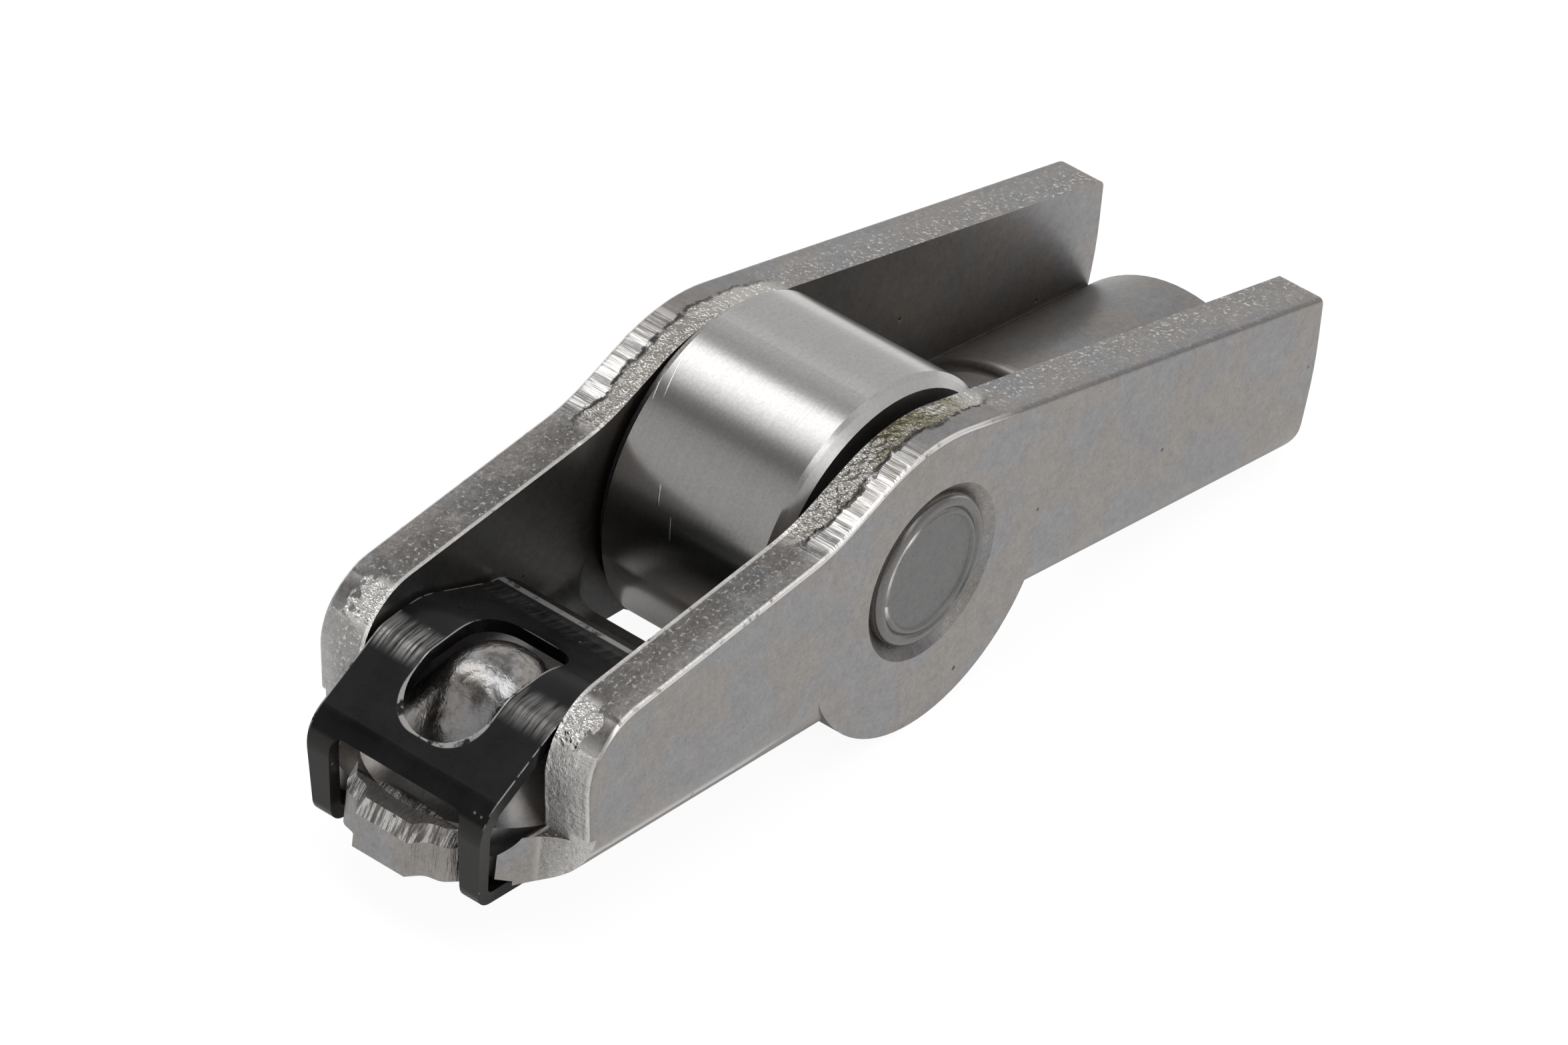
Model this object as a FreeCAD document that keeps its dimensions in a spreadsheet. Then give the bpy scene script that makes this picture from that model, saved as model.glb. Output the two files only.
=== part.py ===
import FreeCAD, Part
import math
import os

import Sketcher

# Roller finger follower: a pressed sheet steel channel that pivots on a ball at one end and
# presses a valve stem with the other, with a needle bearing roller between its walls.
# Every local frame has its origin at the centre of the roller's axle, X towards the valve end,
# Y across the channel and Z up. All lengths are in millimetres and all angles in degrees.

SIZES = {
    # Channel: walls
    "arm_width": 16.7,
    "sheet_thickness": 2.7,
    "wall_front": 24.6,
    "wall_height_front": 6.1,
    "front_corner_round": 3.5,
    "bump_start": 7.2,
    "bump_vertex_x": -0.2,
    "bump_vertex_z": 8.2,
    "bump_round": 9.6,
    "bump_blend": 10.0,
    "valve_top_x": 30.35,
    "valve_top_z": -2.6,
    "valve_top_round": 0.5,
    "valve_middle_x": 29.85,
    "valve_middle_z": -6.8,
    "valve_end_round": 20.0,
    "valve_bottom_x": 28.35,
    "valve_bottom_round": 1.75,
    "edge_round": 0.3,
    "belly_radius": 8.75,
    "belly_angle": 44.0,
    "notch_depth": 3.0,
    # Channel: floor at the pivot end
    "floor_slope": 9.6,
    "floor_rear": 10.0,
    "window_corner_round": 1.0,
    "pivot_bend_round": 3.4,
    "inner_bend_round": 1.8,
    "nose_reach": 7.4,
    "nose_tip_inset": 2.0,
    "nose_notch": 6.6,
    "nose_notch_inset": 1.45,
    "nose_lobe": 6.4,
    "nose_lobe_inset": 0.55,
    "nose_lobe_round": 0.8,
    "nose_root": 5.7,
    "nose_shoulder": 5.0,
    "nose_leg_gap": 0.38,
    "nose_corner_inset": 0.65,
    "nose_side": 2.7,
    "nose_side_outset": 0.6,
    "nose_side_round": 3.0,
    "nose_end": 2.05,
    "nose_trim_height": 6.4,
    "nose_bevel": 0.4,
    "nose_bevel_depth": 0.8,
    "floor_end_thickness": 1.5,
    "floor_end_reach": 1.5,
    "hook_recess": 0.55,
    "hook_recess_reach": 0.8,
    "hook_recess_run_out": 0.9,
    # Socket for the ball of the lash adjuster, and the dome over it
    "pivot_distance": 22.34,
    "ball_height": 1.8,
    "socket_radius": 3.8,
    "socket_lead_in": 0.5,
    "dome_radius": 3.15,
    "dome_height": 3.4,
    "dome_flank_angle": 34.4,
    "dome_base_round": 3.5,
    "dome_foot_sink": 0.4,
    # Web over the valve stem
    "valve_slope": 13.7,
    "web_front": 16.2,
    "web_run_in": 7.0,
    "web_crown_height": 5.6,
    "web_arch_radius": 7.7,
    "web_thickness": 2.4,
    "web_edge_round": 0.6,
    "valve_bend_round": 2.0,
    "guide_roof_half_width": 3.5,
    "guide_mouth_half_width": 4.2,
    "guide_roof_round": 1.0,
    "pad_crown_radius": 14.0,
    "pad_crown_drop": 0.6,
    "pad_half_width": 2.7,
    "pad_centre": 7.25,
    # Axle bore and axle
    "axle_radius": 4.0,
    "countersink_radius": 4.7,
    "countersink_depth": 0.6,
    "axle_edge_round": 0.35,
    "stake_ring_radius": 3.35,
    "stake_ring_width": 0.3,
    "stake_ring_depth": 0.12,
    "stake_recess": 0.1,
    "stake_recess_radius": 2.95,
    # Roller and its needles
    "roller_radius": 8.65,
    "roller_side_gap": 0.45,
    "roller_shift": 0.2,
    "roller_rim_bevel": 0.6,
    "roller_bore_bevel": 0.3,
    "needle_radius": 1.0,
    "needle_inset": 0.5,
    "needle_end_round": 0.25,
    "needle_clearance": 0.02,
    # Retaining clip of spring steel
    "clip_side_gap": 0.25,
    "clip_foot_taper": 0.35,
    "clip_thickness": 0.7,
    "clip_leg_x": 28.41,
    "clip_foot_end": 25.4,
    "clip_foot_bend": 0.75,
    "clip_shoulder_z": 2.07,
    "clip_shoulder_bend": 1.8,
    "clip_crest_x": 23.35,
    "clip_crest_z": 4.46,
    "clip_crest_bend": 1.3,
    "clip_saddle_x": 20.7,
    "clip_saddle_z": 4.38,
    "clip_saddle_bend": 3.5,
    "clip_tail_bend_x": 16.05,
    "clip_tail_bend_z": 2.0,
    "clip_tail_bend": 1.2,
    "clip_tail_x": 14.8,
    "clip_tail_z": 1.7,
    "clip_leg_width": 1.42,
    "clip_window_top": 2.15,
    "clip_window_round": 0.6,
    "clip_hole_half_width": 2.45,
    "clip_hole_front": 26.7,
    "clip_hole_rear": 18.4,
    "clip_hole_front_round": 2.4,
    "clip_hole_rear_round": 1.3,
    "clip_tail_corner_round": 0.8,
    # How the part lies on a table
    "rest_tilt": -5.9,
}
NEEDLE_COUNT = 15
# How far cutting outlines reach past the metal, and how deep raised forms root in it
CLEAR = 20.0
SPARE = 2.0
SKIM = 0.1
TRIM_LIFT = 0.3
PAD_ROOT = 0.3
DOME_ROOT = 1.3
# How near to a line or a face a point counts as lying on it
NEAR = 0.01

# Heights and places that follow from the sizes above
HALF_WIDTH = "(Sizes.arm_width / 2)"
INNER_HALF = "(Sizes.arm_width / 2 - Sizes.sheet_thickness)"
BELLY_X = "(Sizes.belly_radius * sin(Sizes.belly_angle))"
BELLY_Z = "(-Sizes.belly_radius * cos(Sizes.belly_angle))"


def floor_bottom(x):
    """Height of the pivot floor's lower face at a place along the arm."""
    return f"({BELLY_Z} - tan(Sizes.floor_slope) * ({x} + {BELLY_X}))"


def valve_bottom(x):
    """Height of the valve end's lower edge at a place along the arm."""
    return f"({BELLY_Z} - tan(Sizes.valve_slope) * ({x} - {BELLY_X}))"


def valve_top(x):
    """Height of the line that the walls' top edge follows towards the valve end."""
    rise = "(Sizes.bump_vertex_z - Sizes.valve_top_z) / (Sizes.bump_vertex_x - Sizes.valve_top_x)"
    return f"(Sizes.valve_top_z + {rise} * ({x} - Sizes.valve_top_x))"


PIVOT_X = "(-Sizes.pivot_distance)"
PIVOT_Z = f"({floor_bottom(PIVOT_X)} + Sizes.ball_height / cos(Sizes.floor_slope))"
FOOT_X = f"({PIVOT_X} - Sizes.ball_height * sin(Sizes.floor_slope))"
FOOT_Z = f"({PIVOT_Z} - Sizes.ball_height * cos(Sizes.floor_slope))"
NOSE_X = f"({FOOT_X} - Sizes.nose_reach * cos(Sizes.floor_slope))"
NOSE_TOP_X = f"({NOSE_X} + Sizes.sheet_thickness * sin(Sizes.floor_slope))"
NOSE_TOP_Z = f"({floor_bottom(NOSE_X)} + Sizes.sheet_thickness * cos(Sizes.floor_slope))"
WALL_FOOT_Z = (f"({floor_bottom('(-Sizes.wall_front)')}"
               " + Sizes.sheet_thickness / cos(Sizes.floor_slope))")
ROLLER_BORE = "(Sizes.axle_radius + 2 * Sizes.needle_radius + 2 * Sizes.needle_clearance)"
FLOOR_TOP = "(Sizes.sheet_thickness - Sizes.ball_height)"
ROLLER_HALF = f"({INNER_HALF} - Sizes.roller_side_gap)"
NEEDLE_HALF = f"({ROLLER_HALF} - Sizes.needle_inset)"
CLIP_HALF = f"({INNER_HALF} - Sizes.clip_side_gap)"
LEG_GAP_HALF = f"({CLIP_HALF} - Sizes.clip_leg_width)"
NOSE_ROOT_HALF = f"({LEG_GAP_HALF} - Sizes.nose_leg_gap)"
NEEDLE_PITCH = "(Sizes.axle_radius + Sizes.needle_radius + Sizes.needle_clearance)"
BLOCK_END = f"(Sizes.valve_top_x + {SPARE})"

doc = FreeCAD.newDocument("FingerFollower")
sheet = doc.addObject("Spreadsheet::Sheet", "Sizes")
for row, (alias, size) in enumerate(SIZES.items(), start=1):
    sheet.set(f"A{row}", alias)
    sheet.set(f"B{row}", str(size))
    sheet.setAlias(f"B{row}", alias)
doc.recompute()


def number(expression):
    """Work an expression out to a plain number."""
    result = sheet.evalExpression(str(expression))
    return float(getattr(result, "Value", result))


def origin_plane(body, role):
    """Find one of the body's own origin planes."""
    return next(plane for plane in body.Origin.OriginFeatures if plane.Role == role)


def new_body(name):
    """Start a sub-part and lay it down as the whole part rests, with the socket at the origin."""
    body = doc.addObject("PartDesign::Body", name)
    body.Label = name
    place_at_rest(body, "0", "0")
    return body


def place_at_rest(body, x, z):
    """Turn a sub-part to the resting tilt and move its own origin to a place on the arm."""
    body.Placement = FreeCAD.Placement(
        FreeCAD.Vector(0, 0, 0), FreeCAD.Rotation(FreeCAD.Vector(0, 1, 0), number("Sizes.rest_tilt")))
    across = f"({x} - {PIVOT_X})"
    height = f"({z} - {PIVOT_Z})"
    body.setExpression("Placement.Rotation.Angle", "Sizes.rest_tilt * 1deg")
    body.setExpression(
        "Placement.Base.x", f"({across} * cos(Sizes.rest_tilt) + {height} * sin(Sizes.rest_tilt)) * 1mm")
    body.setExpression(
        "Placement.Base.z", f"({height} * cos(Sizes.rest_tilt) - {across} * sin(Sizes.rest_tilt)) * 1mm")


def new_sketch(body, name, role, offset=("0", "0", "0"), turn_axis=(0, 0, 1), turn="0"):
    """Lay a sketch on an origin plane, moved and turned in that plane's own axes."""
    sketch = body.newObject("Sketcher::SketchObject", name)
    sketch.AttachmentSupport = [(origin_plane(body, role), "")]
    sketch.MapMode = "FlatFace"
    sketch.AttachmentOffset = FreeCAD.Placement(
        FreeCAD.Vector(*[number(part) for part in offset]),
        FreeCAD.Rotation(FreeCAD.Vector(*turn_axis), number(turn)))
    for letter, part in zip("xyz", offset):
        sketch.setExpression(f"AttachmentOffset.Base.{letter}", f"{part} * 1mm")
    if turn != "0":
        sketch.setExpression("AttachmentOffset.Rotation.Angle", f"{turn} * 1deg")
    return sketch


def pin_point(sketch, shape, end, x, y):
    """Hold a point of the sketch at a place given by two expressions."""
    for kind, place in (("DistanceX", x), ("DistanceY", y)):
        index = sketch.addConstraint(Sketcher.Constraint(kind, -1, 1, shape, end, number(place)))
        sketch.setExpression(f"Constraints[{index}]", f"{place} * 1mm")


def hold(sketch, kind, picks, expression):
    """Add a dimension to the sketch and tie it to an expression."""
    index = sketch.addConstraint(Sketcher.Constraint(kind, *picks, number(expression)))
    sketch.setExpression(f"Constraints[{index}]", f"{expression} * 1mm")


def add_circle(sketch, radius):
    """Draw a circle about the sketch's origin."""
    circle = sketch.addGeometry(
        Part.Circle(FreeCAD.Vector(0, 0, 0), FreeCAD.Vector(0, 0, 1), number(radius)), False)
    sketch.addConstraint(Sketcher.Constraint("Coincident", circle, 3, -1, 1))
    hold(sketch, "Radius", (circle,), radius)


def outline(sketch, corners, closed=True):
    """Draw straight stretches through corners (x, y) or rounded corners (x, y, radius)."""
    places = [FreeCAD.Vector(number(corner[0]), number(corner[1]), 0) for corner in corners]
    count = len(corners)
    starts, ends, centres = [], [], []
    for index, corner in enumerate(corners):
        here = places[index]
        rounded = len(corner) > 2
        radius = number(corner[2]) if rounded else 0.0
        back = (places[index - 1] - here).normalize()
        ahead = (places[(index + 1) % count] - here).normalize()
        half = math.acos(max(-1.0, min(1.0, back.dot(ahead)))) / 2
        reach = radius / math.tan(half) if rounded else 0.0
        starts.append(here + ahead * reach)
        ends.append(here + back * reach)
        bisector = (back + ahead).normalize() if rounded else back
        centres.append(here + bisector * (radius / math.sin(half) if rounded else 0.0))
    last = count if closed else count - 1
    lines = [sketch.addGeometry(Part.LineSegment(starts[i], ends[(i + 1) % count]), False)
             for i in range(last)]
    for index, corner in enumerate(corners):
        if not closed and index in (0, count - 1):
            line, end = (lines[0], 1) if index == 0 else (lines[-1], 2)
            pin_point(sketch, line, end, corner[0], corner[1])
            continue
        before, after = lines[index - 1], lines[index % last]
        if len(corner) == 2:
            sketch.addConstraint(Sketcher.Constraint("Coincident", before, 2, after, 1))
            pin_point(sketch, after, 1, corner[0], corner[1])
            continue
        centre, radius = centres[index], number(corner[2])
        first = math.atan2(ends[index].y - centre.y, ends[index].x - centre.x)
        second = math.atan2(starts[index].y - centre.y, starts[index].x - centre.x)
        turns_left = math.sin(second - first) > 0
        circle = Part.Circle(centre, FreeCAD.Vector(0, 0, 1), radius)
        span = (first, second) if turns_left else (second, first)
        arc = sketch.addGeometry(Part.ArcOfCircle(circle, *span), False)
        arc_in, arc_out = (1, 2) if turns_left else (2, 1)
        sketch.addConstraint(Sketcher.Constraint("Tangent", before, 2, arc, arc_in))
        sketch.addConstraint(Sketcher.Constraint("Tangent", arc, arc_out, after, 1))
        size = sketch.addConstraint(Sketcher.Constraint("Radius", arc, radius))
        sketch.setExpression(f"Constraints[{size}]", f"{corner[2]} * 1mm")
        vertex = sketch.addGeometry(Part.Point(places[index]), True)
        pin_point(sketch, vertex, 1, corner[0], corner[1])
        sketch.addConstraint(Sketcher.Constraint("PointOnObject", vertex, 1, before))
        sketch.addConstraint(Sketcher.Constraint("PointOnObject", vertex, 1, after))


def add_slab(body, name, sketch, width):
    """Pad a side outline to both sides of the middle plane."""
    pad = body.newObject("PartDesign::Pad", name)
    pad.Profile = sketch
    pad.Midplane = True
    pad.setExpression("Length", f"{width} * 1mm")
    doc.recompute()
    return pad


def cut(body, name, sketch, length, midplane=True, reversed_cut=False):
    """Pocket an outline out of the body and make sure that it removes something."""
    before = body.Shape.Volume
    pocket = body.newObject("PartDesign::Pocket", name)
    pocket.Profile = sketch
    pocket.Midplane = midplane
    pocket.Reversed = reversed_cut
    pocket.setExpression("Length", f"{length} * 1mm")
    doc.recompute()
    if body.Shape.Volume >= before:
        raise RuntimeError(f"{name} removes nothing")
    return pocket


def turned(body, name, kind, sketch, axis):
    """Turn an outline a full round about one of its own axes, as a solid or as a cut."""
    feature = body.newObject(f"PartDesign::{kind}", name)
    feature.Profile = sketch
    feature.ReferenceAxis = (sketch, [axis])
    feature.Angle = 360.0
    doc.recompute()
    return feature


def edges_where(shape, test):
    """Names of the edges whose every sampled point passes the test."""
    names = []
    for index, edge in enumerate(shape.Edges, start=1):
        first, last = edge.ParameterRange
        points = [edge.valueAt(first + (last - first) * share) for share in (0.0, 0.25, 0.5, 0.75, 1.0)]
        if edge.Length > NEAR and all(test(point) for point in points):
            names.append(f"Edge{index}")
    return names


def round_edges(body, name, test, radius):
    """Fillet the edges that pass the test."""
    base = body.Tip
    fillet = body.newObject("PartDesign::Fillet", name)
    fillet.Base = (base, edges_where(base.Shape, test))
    fillet.setExpression("Radius", f"{radius} * 1mm")
    doc.recompute()
    return fillet


def build_arm():
    """Pressed channel: two walls, the pivot floor with its dome, and the web at the valve."""
    body = new_body("arm")
    side = new_sketch(body, "ArmSide", "XZ_Plane")
    outline(side, [
        (NOSE_X, floor_bottom(NOSE_X)),
        (f"-{BELLY_X}", BELLY_Z),
        ("0", "-Sizes.notch_depth"),
        (BELLY_X, BELLY_Z),
        (BLOCK_END, valve_bottom(BLOCK_END)),
        (BLOCK_END, valve_top(BLOCK_END)),
        ("Sizes.bump_vertex_x", "Sizes.bump_vertex_z", "Sizes.bump_round"),
        ("-Sizes.bump_start", "Sizes.wall_height_front", "Sizes.bump_blend"),
        ("-Sizes.wall_front", "Sizes.wall_height_front", "Sizes.front_corner_round"),
        ("-Sizes.wall_front", WALL_FOOT_Z),
        (NOSE_TOP_X, NOSE_TOP_Z),
    ])
    add_slab(body, "ArmBlock", side, "Sizes.arm_width")
    half = number(HALF_WIDTH)
    belly_x = number(BELLY_X)
    belly_z = number(BELLY_Z)

    def on_pivot_line(point):
        line = belly_z - math.tan(math.radians(number("Sizes.floor_slope"))) * (point.x + belly_x)
        return abs(abs(point.y) - half) < NEAR and abs(point.z - line) < NEAR

    def on_valve_line(point):
        line = belly_z - math.tan(math.radians(number("Sizes.valve_slope"))) * (point.x - belly_x)
        return abs(abs(point.y) - half) < NEAR and abs(point.z - line) < NEAR

    belly = new_sketch(body, "BellySide", "XZ_Plane")
    radius = number("Sizes.belly_radius")
    arc = belly.addGeometry(Part.ArcOfCircle(
        Part.Circle(FreeCAD.Vector(0, 0, 0), FreeCAD.Vector(0, 0, 1), radius), math.pi, 2 * math.pi), False)
    chord = belly.addGeometry(Part.LineSegment(
        FreeCAD.Vector(radius, 0, 0), FreeCAD.Vector(-radius, 0, 0)), False)
    belly.addConstraint(Sketcher.Constraint("Coincident", arc, 3, -1, 1))
    belly.addConstraint(Sketcher.Constraint("Coincident", arc, 2, chord, 1))
    belly.addConstraint(Sketcher.Constraint("Coincident", arc, 1, chord, 2))
    belly.addConstraint(Sketcher.Constraint("Horizontal", chord))
    belly.addConstraint(Sketcher.Constraint("PointOnObject", -1, 1, chord))
    size = belly.addConstraint(Sketcher.Constraint("Radius", arc, radius))
    belly.setExpression(f"Constraints[{size}]", "Sizes.belly_radius * 1mm")
    add_slab(body, "Belly", belly, "Sizes.arm_width")

    round_edges(body, "PivotBends", on_pivot_line, "Sizes.pivot_bend_round")
    round_edges(body, "ValveBends", on_valve_line, "Sizes.valve_bend_round")

    window = new_sketch(body, "WindowPlan", "XY_Plane")
    outline(window, [
        ("-Sizes.floor_rear", f"-{INNER_HALF}", "Sizes.window_corner_round"),
        ("Sizes.web_front", f"-{INNER_HALF}", "Sizes.window_corner_round"),
        ("Sizes.web_front", INNER_HALF, "Sizes.window_corner_round"),
        ("-Sizes.floor_rear", INNER_HALF, "Sizes.window_corner_round")])
    cut(body, "RollerWindow", window, str(2 * CLEAR))

    channel = new_sketch(body, "ChannelSection", "YZ_Plane",
                         ("0", floor_bottom(NOSE_X), NOSE_X), (1, 0, 0), "Sizes.floor_slope")
    outline(channel, [
        (f"-{INNER_HALF}", "Sizes.sheet_thickness", "Sizes.inner_bend_round"),
        (INNER_HALF, "Sizes.sheet_thickness", "Sizes.inner_bend_round"),
        (INNER_HALF, str(CLEAR)), (f"-{INNER_HALF}", str(CLEAR))])
    cut(body, "Channel", channel, f"({SPARE} - Sizes.floor_rear - {NOSE_X})", False, True)

    before_web = "(Sizes.web_front - Sizes.web_run_in)"
    web = new_sketch(body, "WebSection", "YZ_Plane",
                     ("0", valve_bottom(before_web), before_web), (1, 0, 0), "Sizes.valve_slope")
    crown, arch = number("Sizes.web_crown_height"), number("Sizes.web_arch_radius")
    inner = number(INNER_HALF)
    centre = FreeCAD.Vector(0, crown - arch, 0)
    lean = math.asin(inner / arch)
    roof = web.addGeometry(Part.ArcOfCircle(
        Part.Circle(centre, FreeCAD.Vector(0, 0, 1), arch), math.pi / 2 - lean, math.pi / 2 + lean), False)
    shoulder = crown - arch + arch * math.cos(lean)
    right, left = FreeCAD.Vector(inner, shoulder, 0), FreeCAD.Vector(-inner, shoulder, 0)
    top_right, top_left = FreeCAD.Vector(inner, CLEAR, 0), FreeCAD.Vector(-inner, CLEAR, 0)
    rise = web.addGeometry(Part.LineSegment(right, top_right), False)
    lid = web.addGeometry(Part.LineSegment(top_right, top_left), False)
    fall = web.addGeometry(Part.LineSegment(top_left, left), False)
    web.addConstraint(Sketcher.Constraint("Coincident", roof, 1, rise, 1))
    web.addConstraint(Sketcher.Constraint("Coincident", rise, 2, lid, 1))
    web.addConstraint(Sketcher.Constraint("Coincident", lid, 2, fall, 1))
    web.addConstraint(Sketcher.Constraint("Coincident", fall, 2, roof, 2))
    web.addConstraint(Sketcher.Constraint("Vertical", rise))
    web.addConstraint(Sketcher.Constraint("Vertical", fall))
    pin_point(web, lid, 1, INNER_HALF, str(CLEAR))
    pin_point(web, lid, 2, f"-{INNER_HALF}", str(CLEAR))
    pin_point(web, roof, 3, "0", "(Sizes.web_crown_height - Sizes.web_arch_radius)")
    size = web.addConstraint(Sketcher.Constraint("Radius", roof, arch))
    web.setExpression(f"Constraints[{size}]", "Sizes.web_arch_radius * 1mm")
    cut(body, "OverWeb", web, f"({CLEAR} + Sizes.web_run_in)", False, True)

    guide = new_sketch(body, "GuideSection", "YZ_Plane",
                       ("0", valve_bottom(before_web), before_web), (1, 0, 0), "Sizes.valve_slope")
    roof_height = "(Sizes.web_crown_height - Sizes.web_thickness)"
    outline(guide, [
        ("-Sizes.guide_mouth_half_width", str(-SPARE / 2)), ("Sizes.guide_mouth_half_width", str(-SPARE / 2)),
        ("Sizes.guide_roof_half_width", roof_height, "Sizes.guide_roof_round"),
        ("-Sizes.guide_roof_half_width", roof_height, "Sizes.guide_roof_round")])
    cut(body, "ValveGuide", guide, f"({CLEAR} + Sizes.web_run_in)", False, True)
    add_valve_pad(body)
    trim_valve_end(body)
    thin_floor_ends(body)
    add_dome(body)
    trim_nose(body)
    sink_socket(body)
    bore_for_axle(body)
    soften_edges(body)
    return body


def add_valve_pad(body):
    """Crowned track under the web, where the tip of the valve stem bears."""
    along_x = "(Sizes.web_front + Sizes.pad_centre * cos(Sizes.valve_slope))"
    pad = new_sketch(body, "PadSide", "XZ_Plane",
                     (along_x, valve_bottom(along_x), "0"), (0, 0, 1), "-Sizes.valve_slope")
    roof = number("Sizes.web_crown_height - Sizes.web_thickness")
    radius, drop = number("Sizes.pad_crown_radius"), number("Sizes.pad_crown_drop")
    rise = radius - drop
    root = PAD_ROOT
    lean = math.acos((rise - root) / radius)
    centre = FreeCAD.Vector(0, roof + rise, 0)
    arc = pad.addGeometry(Part.ArcOfCircle(
        Part.Circle(centre, FreeCAD.Vector(0, 0, 1), radius), -math.pi / 2 - lean, -math.pi / 2 + lean), False)
    end = FreeCAD.Vector(radius * math.sin(lean), roof + root, 0)
    chord = pad.addGeometry(Part.LineSegment(end, FreeCAD.Vector(-end.x, end.y, 0)), False)
    pad.addConstraint(Sketcher.Constraint("Coincident", arc, 2, chord, 1))
    pad.addConstraint(Sketcher.Constraint("Coincident", arc, 1, chord, 2))
    pad.addConstraint(Sketcher.Constraint("Horizontal", chord))
    pin_point(pad, arc, 3, "0", "(Sizes.web_crown_height - Sizes.web_thickness"
              " + Sizes.pad_crown_radius - Sizes.pad_crown_drop)")
    hold(pad, "Radius", (arc,), "Sizes.pad_crown_radius")
    hold(pad, "DistanceY", (-1, 1, chord, 1), f"(Sizes.web_crown_height - Sizes.web_thickness + {PAD_ROOT})")
    add_slab(body, "ValvePad", pad, "2 * Sizes.pad_half_width")


def trim_valve_end(body):
    """Sheared end at the valve: slightly bowed, with a rounded lower corner."""
    above = f"(Sizes.valve_top_z + {SPARE})"
    lean = "((Sizes.valve_top_x - Sizes.valve_middle_x) / (Sizes.valve_top_z - Sizes.valve_middle_z))"
    outside = f"({BLOCK_END} + {SPARE})"
    inside = f"(Sizes.valve_bottom_x - {3 * SPARE})"
    end = new_sketch(body, "ValveEndSide", "XZ_Plane")
    outline(end, [
        (f"(Sizes.valve_top_x + {lean} * {SPARE})", above),
        ("Sizes.valve_middle_x", "Sizes.valve_middle_z", "Sizes.valve_end_round"),
        ("Sizes.valve_bottom_x", valve_bottom("Sizes.valve_bottom_x"), "Sizes.valve_bottom_round"),
        (inside, f"({valve_bottom(inside)} - {TRIM_LIFT})"),
        (inside, str(-CLEAR)),
        (outside, str(-CLEAR)),
        (outside, above)])
    cut(body, "ValveEndTrim", end, f"(Sizes.arm_width + {SPARE})")


def soften_edges(body):
    """Rolled outer edges of the walls, the web's front edge and the walls' corners at the valve."""
    half, inner = number(HALF_WIDTH), number(INNER_HALF)
    top_x, top_z = number("Sizes.valve_top_x"), number("Sizes.valve_top_z")
    wall_top = number("Sizes.wall_height_front")
    front = number("Sizes.web_front")
    corner = number("Sizes.window_corner_round")
    arch = number("Sizes.web_arch_radius")
    web_side = number(f"{valve_bottom('Sizes.web_front')} + Sizes.web_crown_height"
                      " - Sizes.web_arch_radius") + math.sqrt(arch ** 2 - inner ** 2)

    def at_top_corner(point):
        return abs(point.x - top_x) < 2 * NEAR and abs(point.z - top_z) < 2 * NEAR

    def on_web_front(point):
        along = front - corner - NEAR < point.x < front + NEAR
        return along and abs(point.y) < inner + NEAR and point.z > web_side

    def on_outer_top(point):
        return abs(abs(point.y) - half) < NEAR and point.z > wall_top - NEAR

    round_edges(body, "ValveTopCorners", at_top_corner, "Sizes.valve_top_round")
    round_edges(body, "WebFront", on_web_front, "Sizes.web_edge_round")
    round_edges(body, "WallEdges", on_outer_top, "Sizes.edge_round")


def thin_floor_ends(body):
    """Floor thinned beside the nose, with recesses below for the clip's hooks."""
    level = "Sizes.floor_end_thickness"
    above = f"(Sizes.sheet_thickness + Sizes.inner_bend_round + {SPARE})"
    place = ("0", floor_bottom(NOSE_X), NOSE_X)
    top = new_sketch(body, "FloorEndSection", "YZ_Plane", place, (1, 0, 0), "Sizes.floor_slope")
    for side in ("", "-"):
        outline(top, [
            (f"{side}{NOSE_ROOT_HALF}", level),
            (f"{side}{INNER_HALF}", level, "Sizes.inner_bend_round"),
            (f"{side}{INNER_HALF}", above),
            (f"{side}{NOSE_ROOT_HALF}", above)])
    cut(body, "FloorEnds", top, "(Sizes.nose_reach - Sizes.floor_end_reach)", False, True)

    recess = new_sketch(body, "HookRecessSection", "YZ_Plane", place, (1, 0, 0), "Sizes.floor_slope")
    inside = f"({LEG_GAP_HALF} - Sizes.nose_leg_gap / 2)"
    corner = f"({INNER_HALF} - Sizes.nose_corner_inset)"
    run_out = f"({corner} + Sizes.hook_recess_run_out)"
    for side in ("", "-"):
        outline(recess, [
            (f"{side}{inside}", "Sizes.hook_recess"),
            (f"{side}{corner}", "Sizes.hook_recess"),
            (f"{side}{run_out}", "0"),
            (f"{side}{run_out}", str(-SPARE)),
            (f"{side}{inside}", str(-SPARE))])
    reach = "(Sizes.nose_reach - Sizes.nose_shoulder + Sizes.hook_recess_reach)"
    cut(body, "HookRecesses", recess, reach, False, True)


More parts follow.
